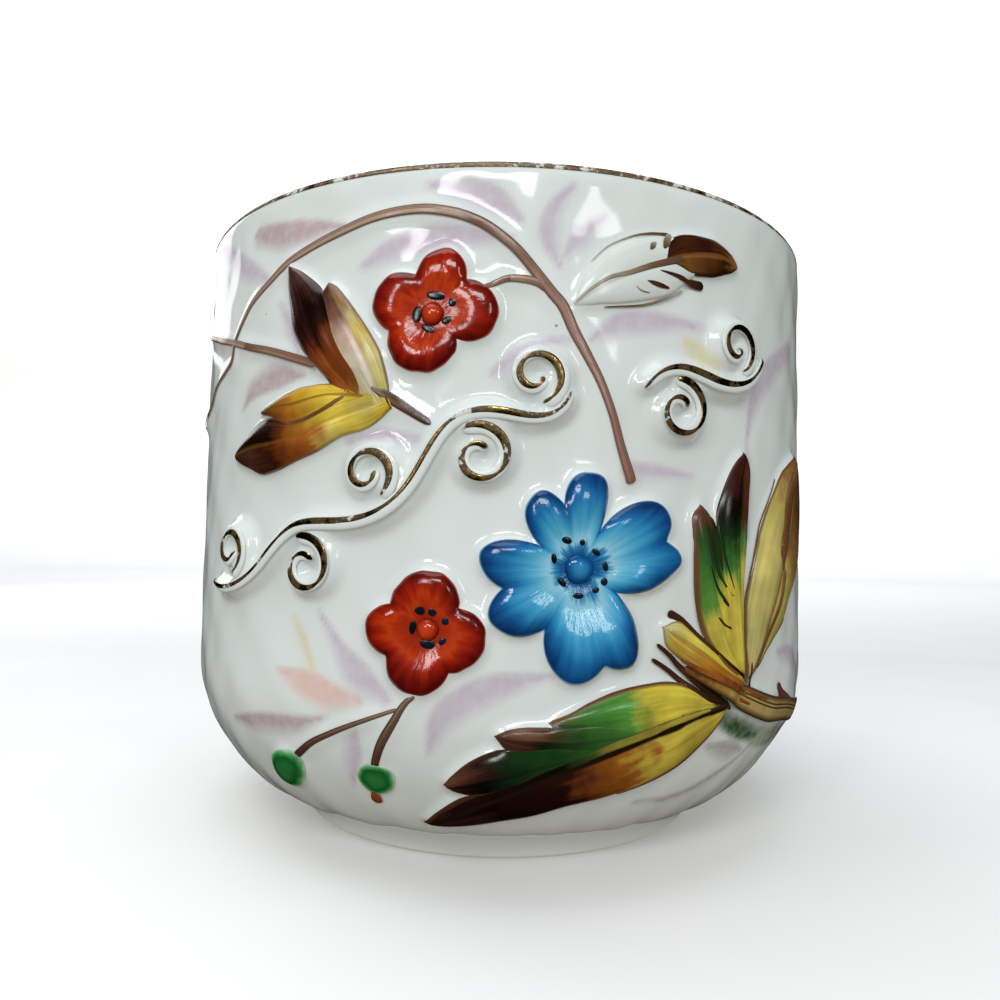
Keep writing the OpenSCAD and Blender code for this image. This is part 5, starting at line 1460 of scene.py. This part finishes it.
# %% Brush lines: finish, height over the relief, strokes of (drawn points, widths)
LINE_UP, TWIG_UP, LINE_FLAT = 0.08, 0.2, 0.12
LINES = {
    "sepia": (DARK_LINE, LINE_UP, [
        ([(17, 69), (19.9, 68.7), (22.1, 68.5), (23.7, 68.5)], 0.15, 0.6, 1.0, 1.1),
        ([(15.5, 67.7), (16.8, 67.5), (18.4, 67.3)], 0.15, 0.6, 0.35),
        ([(18.9, 31.9), (20.5, 31), (22.6, 29), (25, 27.2), (27.4, 25.6), (30.4, 24)], 0.95, 0.5),
        ([(17.5, 28.5), (19.2, 27.1), (21, 25.4), (23.5, 23.6), (26.4, 22)], 0.45, 1.1),
        ([(16.9, 26.9), (19, 25.6), (21.2, 23.9), (24, 22.2), (27, 21.4)], 0.45, 1.0),
        ([(27.8, 21.3), (22, 20.4), (16, 18.9), (12, 17.6), (8.5, 16.4)], 0.9, 0.35),
        ([(26.1, 34.7), (26.8, 34), (27.7, 33.6)], 0.25, 0.45),
        ([(25.3, 33.3), (26, 32.7), (26.7, 32.4)], 0.25, 0.4),
        ([(24.8, 31.3), (26, 30.4), (27.5, 29.8)], 0.35, 0.3),
        ([(-12.7, 54.6), (-12.4, 53.9), (-12.1, 53.2)], 0.25, 0.1),
        ([(31.4, 25.8), (31.6, 24), (31.9, 22.4)], 0.3, 0.5)]),
    "umber": (OUTLINE, LINE_UP, [
        ([(22, 41.6), (22.1, 38), (22.3, 34.5), (23.1, 30.7), (24.4, 28), (26.2, 26), (28.5, 24.6)], 0.5, 0.35),
        ([(30.4, 38), (29.9, 34), (29.7, 31), (30, 28), (30.5, 25), (31.2, 23.2)], 0.5, 0.45),
        ([(31, 24.2), (30.4, 29), (30.6, 32), (31.4, 35), (32.6, 38.5), (34.2, 42), (36.2, 45), (38.6, 47.8)],
         0.35, 0.3),
        ([(31.6, 24.4), (33.3, 27.2), (36.3, 32.2), (38.3, 36.4)], 0.45, 0.8),
        ([(38.1, 36.4), (37.8, 38.6), (38.8, 41.5), (40.3, 44.6), (43, 48), (45.6, 50.4)],
         0.5, 1.9, 1.8, 2.2, 1.6, 0.5),
        ([(32.4, 25), (36, 27.7), (38.6, 29), (40.4, 30.6)], 0.35, 0.7),
        ([(23.8, 22.4), (22, 23.6), (19, 24.3), (16, 24.2), (12.6, 23.6), (9.6, 22.5), (7.4, 21.4), (5.4, 20.7)],
         0.25, 0.4),
        ([(26.8, 20.8), (24.6, 17.9), (22.4, 15.9), (19.8, 14.3), (17, 13), (14, 12.3)], 0.5, 0.8, 0.6),
        ([(-25.5, 52.3), (-23, 52.4), (-20, 53.5), (-17.4, 54.7)], 0.7, 0.5)]),
    "worn": (PALE_LINE, LINE_UP, [
        ([(7.5, 64.8), (9.2, 66.3), (11.2, 67.6), (13.3, 68.3), (15.8, 69.3), (18.1, 70.1), (20.1, 70.8)],
         0.3, 0.4, 0.7, 0.85),
        ([(9.2, 69.3), (11.2, 71.2), (13.9, 72.5), (16.1, 73.1), (18.6, 73.4)], 0.12, 0.2, 0.4),
        ([(20.6, 67.5), (17.8, 66.1), (15.2, 65.2), (10.7, 64.5)], 0.3, 0.3, 0.15),
        ([(18.8, 73.4), (18.1, 72.4), (17.5, 71.5)], 0.9, 1.1, 0.5),
        ([(14.2, 67), (14.9, 66.6), (15.9, 66.5)], 0.15, 0.15),
        ([(16.6, 72.1), (16.2, 71.6), (15.8, 71.1)], 0.3, 0.8, 0.3)]),
    "russet": (RUSSET, LINE_UP, [([(-15, 11.9), (-15.2, 11), (-15.3, 9.7)], 0.3, 0.9, 1.9)]),
    "maroon": (MAROON, LINE_UP, [([(40.1, 22.3), (41, 20.9), (43.2, 19.7), (46, 18.4)], 0.9, 1.5, 2.0)]),
    "moss": (MOSS, LINE_UP, [
        ([(25.6, 42.8), (26, 39.9), (26.55, 37), (27.4, 34.2)], 0.3, 0.55, 0.3),
        ([(23.85, 40.5), (24.3, 37.9), (25.2, 35.5), (27.2, 33.9)], 0.2, 0.5, 0.35),
        ([(23.7, 37), (24.5, 34.9), (25.6, 33.3), (26.6, 32.5)], 0.2, 0.45, 0.3),
        ([(24.4, 42.5), (24.9, 39.4), (25.5, 36.4)], 0.4, 1.2, 0.3),
        ([(22.8, 23.1), (24.6, 22.5), (26.8, 21.6), (28.4, 20.6)], 0.3, 0.8, 0.5)]),
    "twig": (STREAK, TWIG_UP, [
        ([(20.2, 26.8), (22.4, 25.7), (25.2, 24.5), (28.3, 23.1), (31.8, 21.6)], 0.4, 0.9, 0.5),
        ([(22, 25.2), (25, 23.9), (28.6, 22.1), (33, 20.5), (38, 19.2)], 0.3, 0.7, 0.3),
        ([(27, 24), (30, 22.8), (34, 21.4), (38.4, 20.3)], 0.25, 0.5, 0.2)]),
}
for name, (finish, raised, strokes) in LINES.items():
    settle(wall_band(f"brush_lines_{name}", strokes, finish, LINE_FLAT, raised, sides=8, step=0.4), "brown_enamel")

# %% [markdown]
# The raised scroll is white like the body, with gold rubbed down to broken lines along its back.

# %% Running scroll and its gilding
# a broad nib held at 40 degrees (0.7 radians) draws thick and thin
NIB = 0.7


def scroll_band(name, lines, share, shift, finish, flatness, raised, nib=False):
    """Bands along the scroll: share of its width, shifted sideways by a share of its half width."""
    ready = []
    for line, half in lines:
        u = np.linspace(0, 1, len(line) * 2)
        way, width = smooth_line(line, u), smooth_line(half, u)[:, 0]
        way = way + headings(way)[1] * (width * shift)[:, None]
        x, z = way[:, 0], way[:, 1]
        taper = np.minimum(1, np.minimum(u, 1 - u) / 0.04) ** 0.5 * 0.7 + 0.3
        if nib:
            ahead = headings(way)[0]
            taper = taper * (0.45 + 0.75 * np.abs(ahead[:, 1] * math.cos(NIB) - ahead[:, 0] * math.sin(NIB)))
        ready.append((on_wall(x, z, lift_at(x, z) + raised), width * share * taper * MM, wall_normal(x, z)))
    return shape_from_nodes(name, line_mesh(name, ready), SWEPT_BAND,
                            {"Flatness": flatness, "Sides": 12, "Finish": finish})


for name, lines in scrolls.items():
    settle(scroll_band("raised_" + name, lines, 0.9, 0.0, PLAIN_PORCELAIN, 0.3, -0.05), "gilded_relief", name)
    settle(scroll_band("gilt_" + name, lines, 0.5, 0.3, SCROLL_GOLD, 0.2, 0.16, nib=True), "worn_gilding")

# %% [markdown]
# The set is a round bowl of white paper: a floor that sweeps up into a wall on all sides, so that it
# looks the same from everywhere. It is hidden from glossy, diffuse and shadow rays. The cup then
# neither mirrors it nor gets light back from it, as when a photographer covers the table, and the
# light from below comes from the world alone.

# %% Floor and backdrop
SWEEP_R, SWEEP_BEND, SWEEP_H, SWEEP_SIDES = 1.3, 0.3, 1.6, 96


def paper_sweep():
    bend = np.radians(np.linspace(0, 90, 10))
    profile = ([(0.2, 0.0), (0.5, 0.0)]
               + [(SWEEP_R - SWEEP_BEND + SWEEP_BEND * math.sin(t),
                   SWEEP_BEND - SWEEP_BEND * math.cos(t)) for t in bend]
               + [(SWEEP_R, SWEEP_H)])
    n, m = len(profile), SWEEP_SIDES
    round_it = np.linspace(0, 2 * np.pi, m, endpoint=False)
    points = [(r * math.sin(t), -r * math.cos(t), z) for t in round_it for r, z in profile] + [(0.0, 0.0, 0.0)]
    faces = [(i * n + j, (i + 1) % m * n + j, (i + 1) % m * n + j + 1, i * n + j + 1)
             for i in range(m) for j in range(n - 1)]
    faces += [(m * n, (i + 1) % m * n, i * n) for i in range(m)]
    finish, tree, skin = new_finish("white_paper_sweep")
    # paper that is a little uneven every 30 mm
    place = put(tree, "ShaderNodeTexCoord").outputs["Object"]
    grain = put(tree, "ShaderNodeTexNoise", {"Vector": place, "Scale": 30.0})
    tone = put(tree, "ShaderNodeValToRGB", {"Fac": grain}, stops=[(0.3, "#fafafa"), (0.7, "#fdfdfd")])
    feed(tree, skin, {"Base Color": tone, "Roughness": 0.9})
    sweep = mesh_piece("studio_sweep", np.array(points), faces, finish)
    sweep.visible_glossy = sweep.visible_diffuse = sweep.visible_shadow = False
    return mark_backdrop(sweep)


paper_sweep()
print("floor and backdrop in place")

# %% [markdown]
# The glaze shows each lamp as a crisp patch, so the lamps are where the photograph has its patches: a
# large softbox overhead, a small window at each side of the front, a high strip in front and a softbox
# behind at the left. One more lamp lights the paper behind the cup. The world fills the shadows and is
# hidden from glossy rays, so that dark enamels keep their depth.

# %% Lights: place, what it points at, width and height in metres, watts
LAMPS = {
    "overhead_softbox": ((-0.10, -0.06, 0.55), (0.0, 0.0, 0.03), (0.4, 0.4), 0.9),
    "left_window": ((-0.22, -0.40, 0.20), (0.0, 0.0, 0.045), (0.07, 0.11), 0.26),
    "right_window": ((0.22, -0.42, 0.20), (0.0, 0.0, 0.045), (0.06, 0.12), 0.16),
    "high_front_strip": ((-0.04, -0.40, 0.29), (0.0, 0.0, 0.045), (0.2, 0.08), 0.5),
    "back_left_softbox": ((-0.38, 0.36, 0.30), (0.0, 0.0, 0.04), (0.3, 0.25), 0.45),
    "backdrop_light": ((0.0, 0.3, 1.0), (0.0, 1.3, 0.85), (1.2, 0.5), 14.0),
}
for name, (place, target, size, power) in LAMPS.items():
    lamp = bpy.data.lights.new(name, "AREA")
    lamp.shape, lamp.size, lamp.size_y, lamp.energy = "RECTANGLE", *size, power
    light = in_scene(name, lamp)
    light.location = place
    light.rotation_euler = (Vector(target) - Vector(place)).to_track_quat("-Z", "Y").to_euler()
# the room: a pale ceiling above, a warm table below
world = bpy.data.worlds.new("studio_air")
bpy.context.scene.world = world
world.use_nodes = True
room = world.node_tree
height = put(room, "ShaderNodeSeparateXYZ", {0: put(room, "ShaderNodeTexCoord").outputs["Generated"]}).outputs["Z"]
share = put(room, "ShaderNodeMapRange", {"Value": height, "From Min": -0.35, "From Max": 0.35})
tone = put(room, "ShaderNodeValToRGB", {"Fac": share}, stops=[(0.0, "#d3c9bc"), (1.0, "#eef3f5")])
feed(room, room.nodes["Background"], {"Color": tone, "Strength": 0.66})
world.cycles_visibility.glossy = False

# %% [markdown]
# The camera stands where the photographer stood: close to the cup, a little under half its height,
# and turned by one degree.

# %% Camera
CAMERA_AT, TILT_DEG, ROLL_DEG, LENS_MM = (0, -0.128, 0.0391), 90.18, 0.99, 28.64
lens = bpy.data.cameras.new("photo_camera")
lens.sensor_fit, lens.sensor_width, lens.lens = "HORIZONTAL", 36.0, LENS_MM
lens.shift_x, lens.shift_y, lens.clip_start = -0.0014, 0.0414, 0.005
camera = in_scene("photo_camera", lens)
camera.matrix_world = (Matrix.Translation(CAMERA_AT) @ Matrix.Rotation(math.radians(TILT_DEG), 4, "X")
                       @ Matrix.Rotation(math.radians(ROLL_DEG), 4, "Z"))
bpy.context.scene.camera = camera
bpy.context.scene.view_settings.view_transform = "Standard"
print("camera", [round(v, 4) for v in camera.location])
